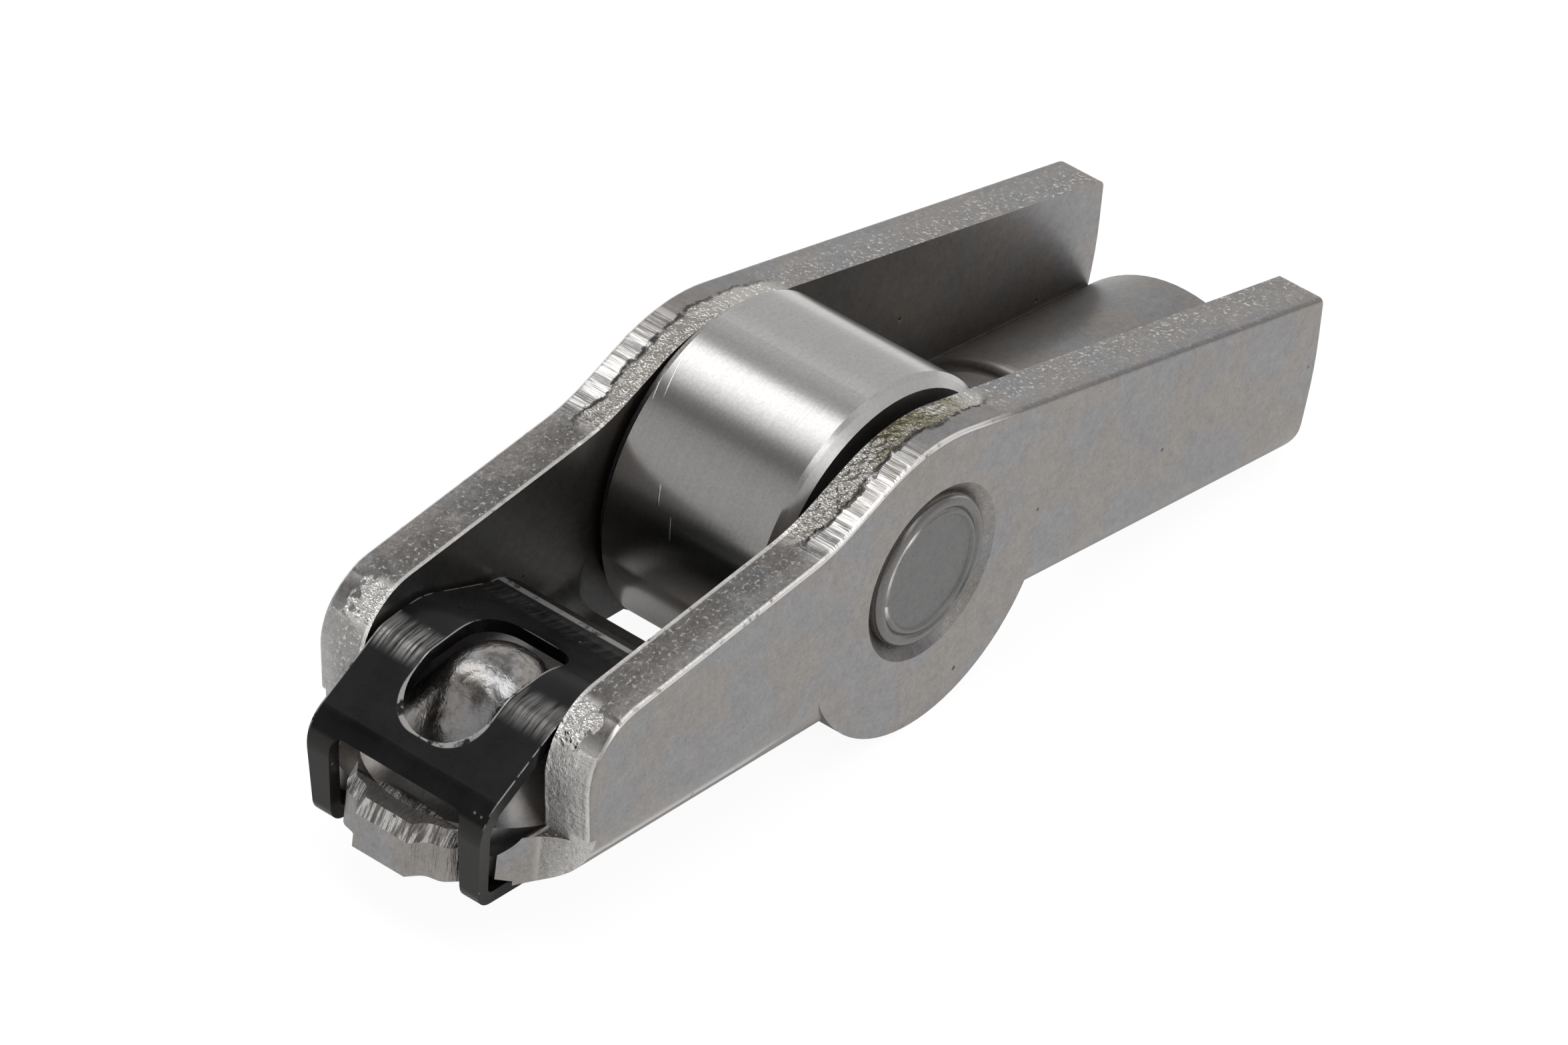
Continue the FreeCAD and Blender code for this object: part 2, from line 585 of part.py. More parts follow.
def trim_nose(body):
    """Plan outline of the pivot floor: a blunt tongue between two shoulders for the clip's legs."""
    plan = new_sketch(body, "NosePlan", "XY_Plane", (FOOT_X, "0", FOOT_Z), (0, 1, 0), "Sizes.floor_slope")
    beside = f"({HALF_WIDTH} + {SKIM})"
    outside = f"({HALF_WIDTH} + {SPARE})"
    ahead = f"-(Sizes.nose_reach + {2 * SPARE})"
    half = [
        ("0", outside),
        ("0", beside),
        ("-Sizes.nose_end", beside),
        ("-Sizes.nose_side", f"({INNER_HALF} + Sizes.nose_side_outset)", "Sizes.nose_side_round"),
        ("-Sizes.nose_shoulder", f"({INNER_HALF} - Sizes.nose_corner_inset)"),
        ("-Sizes.nose_shoulder", NOSE_ROOT_HALF),
        ("-Sizes.nose_root", NOSE_ROOT_HALF),
        ("-Sizes.nose_lobe", f"({NOSE_ROOT_HALF} - Sizes.nose_lobe_inset)", "Sizes.nose_lobe_round"),
        ("-Sizes.nose_notch", f"({NOSE_ROOT_HALF} - Sizes.nose_notch_inset)", "Sizes.nose_lobe_round"),
        ("-Sizes.nose_reach", f"({NOSE_ROOT_HALF} - Sizes.nose_tip_inset)"),
    ]
    mirrored = [(corner[0], f"-{corner[1]}", *corner[2:]) for corner in reversed(half)]
    outline(plan, [(ahead, outside)] + half + mirrored + [(ahead, f"-{outside}")])
    cut(body, "NoseTrim", plan, "Sizes.nose_trim_height")
    slope = math.radians(number("Sizes.floor_slope"))
    root, thick = number("Sizes.nose_root"), number("Sizes.sheet_thickness")
    foot = FreeCAD.Vector(number(FOOT_X), 0, number(FOOT_Z))

    def on_nose_rim(point):
        ahead = (foot - point).dot(FreeCAD.Vector(math.cos(slope), 0, -math.sin(slope)))
        height = (point - foot).dot(FreeCAD.Vector(math.sin(slope), 0, math.cos(slope)))
        return ahead > root - NEAR and abs(height - thick) < NEAR

    base = body.Tip
    bevel = body.newObject("PartDesign::Chamfer", "NoseBevel")
    bevel.Base = (base, edges_where(base.Shape, on_nose_rim))
    bevel.ChamferType = "Two distances"
    bevel.setExpression("Size", "Sizes.nose_bevel * 1mm")
    bevel.setExpression("Size2", "Sizes.nose_bevel_depth * 1mm")
    doc.recompute()


def add_dome(body):
    """Dome raised in the pivot floor: a ball cap on a straight flank with a rounded foot."""
    section = new_sketch(body, "DomeSection", "XZ_Plane",
                         (PIVOT_X, PIVOT_Z, "0"), (0, 0, 1), "-Sizes.floor_slope")
    radius, height = number("Sizes.dome_radius"), number("Sizes.dome_height")
    flank = math.radians(number("Sizes.dome_flank_angle"))
    floor_top = number(FLOOR_TOP)
    centre = FreeCAD.Vector(0, height, 0)
    touch = centre + FreeCAD.Vector(radius * math.cos(flank), radius * math.sin(flank), 0)
    foot_round = number("Sizes.dome_base_round")
    sunk = floor_top - number("Sizes.dome_foot_sink")
    foot_x = touch.x + (touch.y - sunk) * math.tan(flank)
    reach = foot_round * math.tan((math.pi / 2 - flank) / 2)
    slope_end = FreeCAD.Vector(foot_x - reach * math.sin(flank), sunk + reach * math.cos(flank), 0)
    foot_centre = FreeCAD.Vector(foot_x + reach, sunk + foot_round, 0)
    crease = math.acos((foot_centre.y - floor_top) / foot_round)
    foot_end = FreeCAD.Vector(foot_centre.x - foot_round * math.sin(crease), floor_top, 0)
    base = floor_top - DOME_ROOT
    cap = section.addGeometry(Part.ArcOfCircle(
        Part.Circle(centre, FreeCAD.Vector(0, 0, 1), radius), flank, math.pi / 2), False)
    slope = section.addGeometry(Part.LineSegment(touch, slope_end), False)
    foot = section.addGeometry(Part.ArcOfCircle(
        Part.Circle(foot_centre, FreeCAD.Vector(0, 0, 1), foot_round),
        math.pi + flank, 3 * math.pi / 2 - crease), False)
    drop = section.addGeometry(Part.LineSegment(foot_end, FreeCAD.Vector(foot_end.x, base, 0)), False)
    sole = section.addGeometry(Part.LineSegment(
        FreeCAD.Vector(foot_end.x, base, 0), FreeCAD.Vector(0, base, 0)), False)
    axis = section.addGeometry(Part.LineSegment(
        FreeCAD.Vector(0, base, 0), FreeCAD.Vector(0, height + radius, 0)), False)
    section.addConstraint(Sketcher.Constraint("Tangent", cap, 1, slope, 1))
    section.addConstraint(Sketcher.Constraint("Tangent", slope, 2, foot, 1))
    section.addConstraint(Sketcher.Constraint("Coincident", foot, 2, drop, 1))
    section.addConstraint(Sketcher.Constraint("Coincident", drop, 2, sole, 1))
    section.addConstraint(Sketcher.Constraint("Coincident", sole, 2, axis, 1))
    section.addConstraint(Sketcher.Constraint("Coincident", axis, 2, cap, 2))
    section.addConstraint(Sketcher.Constraint("Vertical", drop))
    section.addConstraint(Sketcher.Constraint("Horizontal", sole))
    section.addConstraint(Sketcher.Constraint("PointOnObject", sole, 2, -2))
    section.addConstraint(Sketcher.Constraint("PointOnObject", cap, 2, -2))
    pin_point(section, cap, 3, "0", "Sizes.dome_height")
    hold(section, "Radius", (cap,), "Sizes.dome_radius")
    hold(section, "Radius", (foot,), "Sizes.dome_base_round")
    hold(section, "DistanceY", (-1, 1, foot, 2), FLOOR_TOP)
    hold(section, "DistanceY", (-1, 1, sole, 2), f"({FLOOR_TOP} - {DOME_ROOT})")
    hold(section, "DistanceY", (-1, 1, foot, 3), f"({FLOOR_TOP} - Sizes.dome_foot_sink + Sizes.dome_base_round)")
    index = section.addConstraint(Sketcher.Constraint("Angle", slope, math.atan2(
        slope_end.y - touch.y, slope_end.x - touch.x)))
    section.setExpression(f"Constraints[{index}]", "(Sizes.dome_flank_angle - 90) * 1deg")
    turned(body, "Dome", "Revolution", section, "V_Axis")


def sink_socket(body):
    """Ball socket in the underside of the pivot floor, with a flared mouth."""
    section = new_sketch(body, "SocketSection", "XZ_Plane",
                         (PIVOT_X, PIVOT_Z, "0"), (0, 0, 1), "-Sizes.floor_slope")
    radius = number("Sizes.socket_radius")
    arc = section.addGeometry(Part.ArcOfCircle(
        Part.Circle(FreeCAD.Vector(0, 0, 0), FreeCAD.Vector(0, 0, 1), radius), 0, math.pi / 2), False)
    corners = [
        ("Sizes.socket_radius", "0"),
        ("Sizes.socket_radius", "(Sizes.socket_lead_in - Sizes.ball_height)"),
        ("(Sizes.socket_radius + Sizes.socket_lead_in)", "-Sizes.ball_height"),
        ("(Sizes.socket_radius + Sizes.socket_lead_in)", f"-(Sizes.ball_height + {SPARE})"),
        ("0", f"-(Sizes.ball_height + {SPARE})"),
    ]
    outline(section, corners, closed=False)
    first, last = arc + 1, arc + len(corners) - 1
    axis = section.addGeometry(Part.LineSegment(
        FreeCAD.Vector(0, -number(f"Sizes.ball_height + {SPARE}"), 0), FreeCAD.Vector(0, radius, 0)), False)
    section.addConstraint(Sketcher.Constraint("Coincident", arc, 3, -1, 1))
    section.addConstraint(Sketcher.Constraint("Coincident", arc, 1, first, 1))
    section.addConstraint(Sketcher.Constraint("Coincident", last, 2, axis, 1))
    section.addConstraint(Sketcher.Constraint("Coincident", axis, 2, arc, 2))
    section.addConstraint(Sketcher.Constraint("PointOnObject", arc, 2, -2))
    before = body.Shape.Volume
    turned(body, "Socket", "Groove", section, "V_Axis")
    if body.Shape.Volume >= before:
        raise RuntimeError("the socket removes nothing")


def bore_for_axle(body):
    """Bores for the axle through both walls, countersunk on the outside."""
    circle = new_sketch(body, "AxleBoreSide", "XZ_Plane")
    add_circle(circle, "Sizes.axle_radius")
    cut(body, "AxleBore", circle, f"(Sizes.arm_width + {SPARE})")
    section = new_sketch(body, "CountersinkSection", "XY_Plane")
    inside_bore = f"(Sizes.axle_radius - {SPARE})"
    for side in ("", "-"):
        outline(section, [
            (inside_bore, f"{side}({HALF_WIDTH} - Sizes.countersink_depth)"),
            ("Sizes.axle_radius", f"{side}({HALF_WIDTH} - Sizes.countersink_depth)"),
            ("Sizes.countersink_radius", f"{side}{HALF_WIDTH}"),
            ("Sizes.countersink_radius", f"{side}({HALF_WIDTH} + {SPARE})"),
            (inside_bore, f"{side}({HALF_WIDTH} + {SPARE})")])
    before = body.Shape.Volume
    turned(body, "Countersinks", "Groove", section, "V_Axis")
    if body.Shape.Volume >= before:
        raise RuntimeError("the countersinks remove nothing")


def build_axle():
    """Axle, flush with the walls, with a staked rim and a fine ring in each end face."""
    body = new_body("axle")
    section = new_sketch(body, "AxleSection", "YZ_Plane")
    half = "Sizes.arm_width / 2"
    end = [
        (f"({half} - Sizes.stake_recess)", "0"),
        (f"({half} - Sizes.stake_recess)", "Sizes.stake_recess_radius"),
        (f"({half})", "(Sizes.stake_recess_radius + Sizes.stake_recess)"),
        (f"({half})", "(Sizes.stake_ring_radius - Sizes.stake_ring_width / 2)"),
        (f"({half} - Sizes.stake_ring_depth)", "Sizes.stake_ring_radius"),
        (f"({half})", "(Sizes.stake_ring_radius + Sizes.stake_ring_width / 2)"),
        (f"({half})", "Sizes.axle_radius", "Sizes.axle_edge_round"),
    ]
    other_end = [(f"-{corner[0]}", *corner[1:]) for corner in reversed(end)]
    outline(section, end + other_end)
    turned(body, "Axle", "Revolution", section, "H_Axis")
    return body


def build_roller():
    """Ring with a ground rim that the cam runs on; it turns on the needles."""
    body = new_body("roller")
    section = new_sketch(body, "RollerSection", "YZ_Plane", ("Sizes.roller_shift", "0", "0"))
    wide = ROLLER_HALF
    outline(section, [
        (f"({wide} - Sizes.roller_bore_bevel)", ROLLER_BORE),
        (f"({wide})", f"({ROLLER_BORE} + Sizes.roller_bore_bevel)"),
        (f"({wide})", "(Sizes.roller_radius - Sizes.roller_rim_bevel)"),
        (f"({wide} - Sizes.roller_rim_bevel)", "Sizes.roller_radius"),
        (f"(-{wide} + Sizes.roller_rim_bevel)", "Sizes.roller_radius"),
        (f"(-{wide})", "(Sizes.roller_radius - Sizes.roller_rim_bevel)"),
        (f"(-{wide})", f"({ROLLER_BORE} + Sizes.roller_bore_bevel)"),
        (f"(-{wide} + Sizes.roller_bore_bevel)", ROLLER_BORE)])
    turned(body, "Ring", "Revolution", section, "H_Axis")
    return body


def build_needle(index):
    """One needle roller of the full set between the axle and the ring."""
    body = new_body(f"needle_{index + 1:02d}")
    angle = f"({index} * 360 / {NEEDLE_COUNT})"
    place_at_rest(body, f"({NEEDLE_PITCH} * cos({angle}))", f"({NEEDLE_PITCH} * sin({angle}))")
    section = new_sketch(body, f"NeedleSection{index + 1:02d}", "YZ_Plane")
    outline(section, [
        (NEEDLE_HALF, "0"),
        (NEEDLE_HALF, "Sizes.needle_radius", "Sizes.needle_end_round"),
        (f"-{NEEDLE_HALF}", "Sizes.needle_radius", "Sizes.needle_end_round"),
        (f"-{NEEDLE_HALF}", "0")])
    turned(body, f"Needle{index + 1:02d}", "Revolution", section, "H_Axis")
    return body


def build_clip():
    """Spring steel clip: a saddle over the dome, with two legs hooked under the nose."""
    body = new_body("clip")
    half_thick = "Sizes.clip_thickness / 2"
    foot_drop = f"{half_thick} / cos(Sizes.floor_slope)"
    foot_x, leg_x = "(-Sizes.clip_foot_end)", "(-Sizes.clip_leg_x)"
    foot_z = f"({floor_bottom(foot_x)} - {foot_drop})"
    path = new_sketch(body, "ClipPath", "XZ_Plane")
    outline(path, [
        (foot_x, foot_z),
        (leg_x, f"({floor_bottom(leg_x)} - {foot_drop})", "Sizes.clip_foot_bend"),
        (leg_x, "Sizes.clip_shoulder_z", "Sizes.clip_shoulder_bend"),
        ("-Sizes.clip_crest_x", "Sizes.clip_crest_z", "Sizes.clip_crest_bend"),
        ("-Sizes.clip_saddle_x", "Sizes.clip_saddle_z", "Sizes.clip_saddle_bend"),
        ("-Sizes.clip_tail_bend_x", "Sizes.clip_tail_bend_z", "Sizes.clip_tail_bend"),
        ("-Sizes.clip_tail_x", "Sizes.clip_tail_z")], closed=False)
    strip = new_sketch(body, "ClipStrip", "YZ_Plane", ("0", foot_z, foot_x), (1, 0, 0), "Sizes.floor_slope")
    outline(strip, [
        (f"-{CLIP_HALF}", f"(-{half_thick})"), (CLIP_HALF, f"(-{half_thick})"),
        (CLIP_HALF, f"({half_thick})"), (f"-{CLIP_HALF}", f"({half_thick})")])
    band = body.newObject("PartDesign::AdditivePipe", "ClipBand")
    band.Profile = strip
    band.Spine = path
    doc.recompute()

    before_legs = f"-(Sizes.clip_leg_x + {SPARE})"
    window = new_sketch(body, "ClipWindow", "YZ_Plane", ("0", "0", before_legs))
    outline(window, [
        (f"-{LEG_GAP_HALF}", str(-CLEAR)), (LEG_GAP_HALF, str(-CLEAR)),
        (LEG_GAP_HALF, "Sizes.clip_window_top", "Sizes.clip_window_round"),
        (f"-{LEG_GAP_HALF}", "Sizes.clip_window_top", "Sizes.clip_window_round")])
    leg_depth = f"(Sizes.clip_leg_x - Sizes.clip_foot_end + {2 * SPARE})"
    cut(body, "ClipLegGap", window, leg_depth, False, True)

    taper = new_sketch(body, "ClipLegTaper", "YZ_Plane", ("0", "0", before_legs))
    beside = f"({CLIP_HALF} + {SPARE})"
    for side in ("", "-"):
        outline(taper, [
            (f"{side}{CLIP_HALF}", "Sizes.clip_shoulder_z"),
            (f"{side}({CLIP_HALF} - Sizes.clip_foot_taper)", foot_z),
            (f"{side}({CLIP_HALF} - Sizes.clip_foot_taper)", str(-CLEAR)),
            (f"{side}{beside}", str(-CLEAR)),
            (f"{side}{beside}", "Sizes.clip_shoulder_z")])
    cut(body, "ClipLegSides", taper, leg_depth, False, True)

    hole = new_sketch(body, "ClipHolePlan", "XY_Plane")
    outline(hole, [
        ("-Sizes.clip_hole_front", "-Sizes.clip_hole_half_width", "Sizes.clip_hole_front_round"),
        ("-Sizes.clip_hole_rear", "-Sizes.clip_hole_half_width", "Sizes.clip_hole_rear_round"),
        ("-Sizes.clip_hole_rear", "Sizes.clip_hole_half_width", "Sizes.clip_hole_rear_round"),
        ("-Sizes.clip_hole_front", "Sizes.clip_hole_half_width", "Sizes.clip_hole_front_round")])
    cut(body, "ClipHole", hole, str(2 * CLEAR))

    half = number(CLIP_HALF)
    tail = -number("Sizes.clip_tail_x")
    thick = number("Sizes.clip_thickness")

    def at_tail_corner(point):
        return abs(abs(point.y) - half) < NEAR and abs(point.x - tail) < thick / 2

    round_edges(body, "ClipTailCorners", at_tail_corner, "Sizes.clip_tail_corner_round")
    return body


def check(bodies):
    """Stop when a feature has failed or a sub-part isn't one valid solid."""
    for item in doc.Objects:
        if "Invalid" in item.State or "Error" in item.State:
            raise RuntimeError(f"{item.Name}: {item.State} {item.getStatusString()}")
    for body in bodies:
        shape = body.Shape
        if shape.isNull() or not shape.isValid() or len(shape.Solids) != 1:
            raise RuntimeError(f"{body.Label} isn't one valid solid")


def main():
    bodies = [build_arm(), build_axle(), build_roller()]
    bodies += [build_needle(index) for index in range(NEEDLE_COUNT)]
    bodies.append(build_clip())
    doc.recompute()
    check(bodies)
    os.makedirs("parts", exist_ok=True)
    for body in bodies:
        body.Shape.exportStep(f"parts/{body.Label}.step")
        centre = body.Shape.Solids[0].CenterOfMass
        print(f"{body.Label}: {body.Shape.Volume:.1f} mm3, centre {centre.x:.2f} {centre.y:.2f} {centre.z:.2f}")


main()
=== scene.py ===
"""Looks of a roller finger follower: metal finishes, a pale floor, soft light and a camera."""

import logging
import math
from dataclasses import dataclass, field
from enum import Enum
from typing import Union

import bpy
from mathutils import Matrix, Vector


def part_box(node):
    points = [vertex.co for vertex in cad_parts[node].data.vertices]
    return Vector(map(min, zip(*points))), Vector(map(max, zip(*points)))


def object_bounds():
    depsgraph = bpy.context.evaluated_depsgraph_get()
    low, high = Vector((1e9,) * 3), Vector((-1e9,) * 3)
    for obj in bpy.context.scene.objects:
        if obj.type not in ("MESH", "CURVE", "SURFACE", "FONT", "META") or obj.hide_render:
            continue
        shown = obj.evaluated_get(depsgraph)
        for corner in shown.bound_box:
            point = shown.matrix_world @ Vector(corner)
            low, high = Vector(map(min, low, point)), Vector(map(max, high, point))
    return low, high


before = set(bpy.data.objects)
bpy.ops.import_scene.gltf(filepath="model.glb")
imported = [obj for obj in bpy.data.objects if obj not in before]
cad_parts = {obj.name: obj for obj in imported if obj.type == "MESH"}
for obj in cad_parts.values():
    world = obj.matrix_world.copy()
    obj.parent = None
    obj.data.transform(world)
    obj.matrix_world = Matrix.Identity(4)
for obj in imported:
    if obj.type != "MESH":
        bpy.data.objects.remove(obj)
CAD_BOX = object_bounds()

log = logging.getLogger("follower")

MM = 0.001
REST_TILT = math.radians(5.9)
AXLE_FROM_SOCKET = (-22.34, 0.0, -1.7182)

Value = Union["Signal", float]
Colour = tuple[float, float, float]
Span = tuple[float, float]


def middle_of(node: str) -> float:
    """Middle of a solid across the channel, in millimetres."""
    low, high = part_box(node)
    return (low.y + high.y) / 2 / MM


def half_width_of(node: str) -> float:
    """Half of a solid's width across the channel, in millimetres."""
    low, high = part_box(node)
    return (high.y - low.y) / 2 / MM


class Ease(Enum):
    """How a value passes from one end of a range to the other."""

    LINEAR = "LINEAR"
    SMOOTH = "SMOOTHSTEP"


class Signal:
    """A number that a material works out for each point of a surface."""

    def __init__(self, graph: "Graph", socket: bpy.types.NodeSocket) -> None:
        """Wrap an output socket of the graph."""
        self.graph = graph
        self.socket = socket

    def __add__(self, other: Value) -> "Signal":
        """Sum."""
        return self.graph.math("ADD", self, other)

    __radd__ = __add__

    def __sub__(self, other: Value) -> "Signal":
        """Difference."""
        return self.graph.math("SUBTRACT", self, other)

    def __rsub__(self, other: Value) -> "Signal":
        """Difference from a plain number."""
        return self.graph.math("SUBTRACT", other, self)

    def __mul__(self, other: Value) -> "Signal":
        """Product."""
        return self.graph.math("MULTIPLY", self, other)

    __rmul__ = __mul__

    def __truediv__(self, other: Value) -> "Signal":
        """Quotient."""
        return self.graph.math("DIVIDE", self, other)

    def __pow__(self, power: float) -> "Signal":
        """Power."""
        return self.graph.math("POWER", self, power)

    def __abs__(self) -> "Signal":
        """Size without its sign."""
        return self.graph.math("ABSOLUTE", self)

    def __and__(self, other: Value) -> "Signal":
        """Smaller of two masks."""
        return self.graph.math("MINIMUM", self, other)

    def __or__(self, other: Value) -> "Signal":
        """Larger of two masks."""
        return self.graph.math("MAXIMUM", self, other)

    def rise(self, low: Value, high: Value, ease: Ease = Ease.SMOOTH) -> "Signal":
        """Pass from 0 to 1 as the signal goes from low to high.

        Args:
            low: Where the result is still 0.
            high: Where the result reaches 1; below low it turns the ramp round.
            ease: The form of the ramp.

        Returns:
            The mask.
        """
        node = self.graph.node(
            "ShaderNodeMapRange", {"interpolation_type": ease.value},
            {"Value": self, "From Min": low, "From Max": high})
        return Signal(self.graph, node.outputs["Result"])

    def within(self, low: float, high: float, soft: float) -> "Signal":
        """Be 1 between two ends and fade to 0 over a soft border outside them."""
        return self.rise(low - soft, low) & self.rise(high + soft, high)

    def held(self) -> "Signal":
        """Keep the signal between 0 and 1."""
        return self.rise(0.0, 1.0, Ease.LINEAR)


class Graph:
    """Node tree of one material or of the world, built from expressions."""

    def __init__(self, owner: bpy.types.Material | bpy.types.World) -> None:
        """Clear the owner's node tree and build on it.

        Args:
            owner: The material or the world.
        """
        self.owner = owner
        owner.use_nodes = True
        self.tree = owner.node_tree
        self.tree.nodes.clear()

    @classmethod
    def of_material(cls, name: str) -> "Graph":
        """Start a new material."""
        return cls(bpy.data.materials.new(name))

    def node(self, kind: str, settings: dict | None = None, inputs: dict | None = None) -> bpy.types.Node:
        """Add a node.

        Args:
            kind: Type of the node.
            settings: Its settings, set before anything is linked.
            inputs: Values or links of its sockets, by name or number.

        Returns:
            The node.
        """
        made = self.tree.nodes.new(kind)
        for name, setting in (settings or {}).items():
            setattr(made, name, setting)
        for name, value in (inputs or {}).items():
            self.feed(made.inputs[name], value)
        return made

    def feed(self, socket: bpy.types.NodeSocket, value: object) -> None:
        """Link a signal or an output to a socket, or set its plain value.

        Args:
            socket: The input socket.
            value: A signal, an output socket or a plain value.
        """
        source = value.socket if isinstance(value, Signal) else value
        if isinstance(source, bpy.types.NodeSocket):
            self.tree.links.new(source, socket)
        else:
            socket.default_value = source

    def math(self, operation: str, first: Value, second: Value = 0.0) -> Signal:
        """Add one step of arithmetic."""
        node = self.node("ShaderNodeMath", {"operation": operation}, {0: first, 1: second})
        return Signal(self, node.outputs[0])

    def split(self, vector: bpy.types.NodeSocket) -> tuple[Signal, Signal, Signal]:
        """Take a vector apart into its three numbers."""
        node = self.node("ShaderNodeSeparateXYZ", None, {0: vector})
        return Signal(self, node.outputs[0]), Signal(self, node.outputs[1]), Signal(self, node.outputs[2])

    def join(self, x: Value, y: Value, z: Value) -> bpy.types.NodeSocket:
        """Put three numbers together as a vector."""
        return self.node("ShaderNodeCombineXYZ", None, {0: x, 1: y, 2: z}).outputs[0]

    def noise(self, vector: bpy.types.NodeSocket, scale: float, detail: float = 2.0,
              rough: float = 0.5, twist: float = 0.0) -> Signal:
        """Cloudy pattern from 0 to 1 with its middle at one half.

        Args:
            vector: Place on the surface.
            scale: Waves per millimetre.
            detail: How many finer layers it holds.
            rough: Weight of the finer layers.
            twist: How much it is distorted.

        Returns:
            The pattern.
        """
        node = self.node("ShaderNodeTexNoise", {"noise_dimensions": "3D"}, {
            "Vector": vector, "Scale": scale, "Detail": detail, "Roughness": rough, "Distortion": twist})
        return Signal(self, node.outputs["Fac"])

    def cells(self, vector: bpy.types.NodeSocket, scale: float) -> Signal:
        """Distance from the middles of randomly placed cells."""
        node = self.node("ShaderNodeTexVoronoi", {"feature": "F1"}, {"Vector": vector, "Scale": scale})
        return Signal(self, node.outputs["Distance"])

    def profile(self, place: Signal, stops: tuple[Span, ...]) -> Signal:
        """Take given values at given places and run straight between them.

        Args:
            place: Where the signal stands.
            stops: Pairs of a place and the value there, in rising order.

        Returns:
            The value.
        """
        level = stops[0][1]
        for (start, before), (end, after) in zip(stops, stops[1:]):
            level = place.rise(start, end, Ease.LINEAR) * (after - before) + level
        return level

    def blend(self, share: Value, first: object, second: object) -> bpy.types.NodeSocket:
        """Mix two colours.

        Args:
            share: Share of the second colour, from 0 to 1.
            first: Colour or output socket that shows where the share is 0.
            second: Colour or output socket that shows where it is 1.

        Returns:
            The mixed colour.
        """
        node = self.node("ShaderNodeMix", {"data_type": "RGBA", "clamp_factor": True})
        self.feed(node.inputs["Factor"], share)
        for socket, colour in ((node.inputs[6], first), (node.inputs[7], second)):
            self.feed(socket, (*colour, 1.0) if isinstance(colour, tuple) else colour)
        return node.outputs[2]

    def shaded(self, colour: bpy.types.NodeSocket, amount: Value) -> bpy.types.NodeSocket:
        """Multiply a colour by a number."""
        return self.node("ShaderNodeVectorMath", {"operation": "SCALE"}, {
            "Vector": colour, "Scale": amount}).outputs[0]

    def relief(self, height: Signal) -> bpy.types.NodeSocket:
        """Normal of a surface with a relief whose height is in millimetres."""
        node = self.node("ShaderNodeBump", None, {"Strength": 1.0, "Distance": MM, "Height": height})
        return node.outputs[0]

    def finish(self, **inputs: object) -> bpy.types.Material:
        """Close the graph with a principled surface.

        Args:
            inputs: Its sockets, with underscores for spaces in their names.

        Returns:
            The material.
        """
        named = {key.replace("_", " "): value for key, value in inputs.items()}
        surface = self.node("ShaderNodeBsdfPrincipled", None, named)
        return self.close(surface.outputs[0])

    def close(self, surface: bpy.types.NodeSocket,
              kind: str = "ShaderNodeOutputMaterial") -> bpy.types.Material | bpy.types.World:
        """Link a shader to the output of the material or the world."""
        self.node(kind, None, {"Surface": surface})
        return self.owner


class Spot:
    """Point of a surface, in millimetres from the axle's middle: x to the valve, y across, z up."""

    def __init__(self, graph: Graph) -> None:
        """Turn the resting part's coordinates to its own axes.

        Args:
            graph: Graph of the material that asks for the point.
        """
        self.graph = graph
        resting = graph.node("ShaderNodeTexCoord").outputs["Object"]
        self.at = graph.node("ShaderNodeMapping", {"vector_type": "POINT"}, {
            "Vector": resting, "Location": AXLE_FROM_SOCKET, "Rotation": (0.0, REST_TILT, 0.0),
            "Scale": (1 / MM, 1 / MM, 1 / MM)}).outputs[0]
        self.x, self.y, self.z = graph.split(self.at)

    def facing(self) -> tuple[Signal, Signal, Signal]:
        """Direction that the surface faces, along the part's own axes.

        Returns:
            Its three numbers.
        """
        resting = self.graph.node("ShaderNodeTexCoord").outputs["Normal"]
        turned = self.graph.node("ShaderNodeMapping", {"vector_type": "VECTOR"}, {
            "Vector": resting, "Rotation": (0.0, REST_TILT, 0.0)})
        return self.graph.split(turned.outputs[0])

    def from_axle(self) -> Signal:
        """Distance from the axle's centre line."""
        return (self.x * self.x + self.z * self.z) ** 0.5

    def bearing(self) -> Signal:
        """Angle round the axle from the valve's side upwards, in radians."""
        return self.graph.math("ARCTAN2", self.z, self.x)

    def stretched(self, scale: Colour, shift: Colour = (0.0, 0.0, 0.0)) -> bpy.types.NodeSocket:
        """The point with its own scale along each axis, then shifted, for a pattern to lie in."""
        node = self.graph.node("ShaderNodeMapping", {"vector_type": "POINT"}, {
            "Vector": self.at, "Location": shift, "Scale": scale})
        return node.outputs[0]

    def shifted(self, x: float, y: float, z: float) -> bpy.types.NodeSocket:
        """The point shifted, so that a second pattern differs from the first."""
        return self.stretched((1.0, 1.0, 1.0), (x, y, z))


@dataclass(frozen=True)
class CutMarks:
    """What the press left on the cut faces of the walls: masks, and the patterns inside them, one of which
    also places painted glints.
    """

    face: Signal
    across: Signal
    wave: Signal
    corner: Signal
    broken: Signal
    crack: Signal
    rubbed: Signal
    front: Signal
    dragged: Signal
    drag: Signal
    mottle: Signal
    speckle_and_glints: Signal
    tear: Signal


@dataclass(frozen=True)
class FormMarks:
    """Masks of the dome, the polished places, the nose and its bevel, and the patterns inside them."""

    dome: Signal
    polished: Signal
    nose: Signal
    bevel: Signal
    stains: Signal
    peel: Signal
    ridges: Signal


@dataclass(frozen=True)
class EdgeMarks:
    """Masks of the wall edges with a painted highlight and of those with a painted shade line."""

    bright: Signal
    edge_shade: Signal


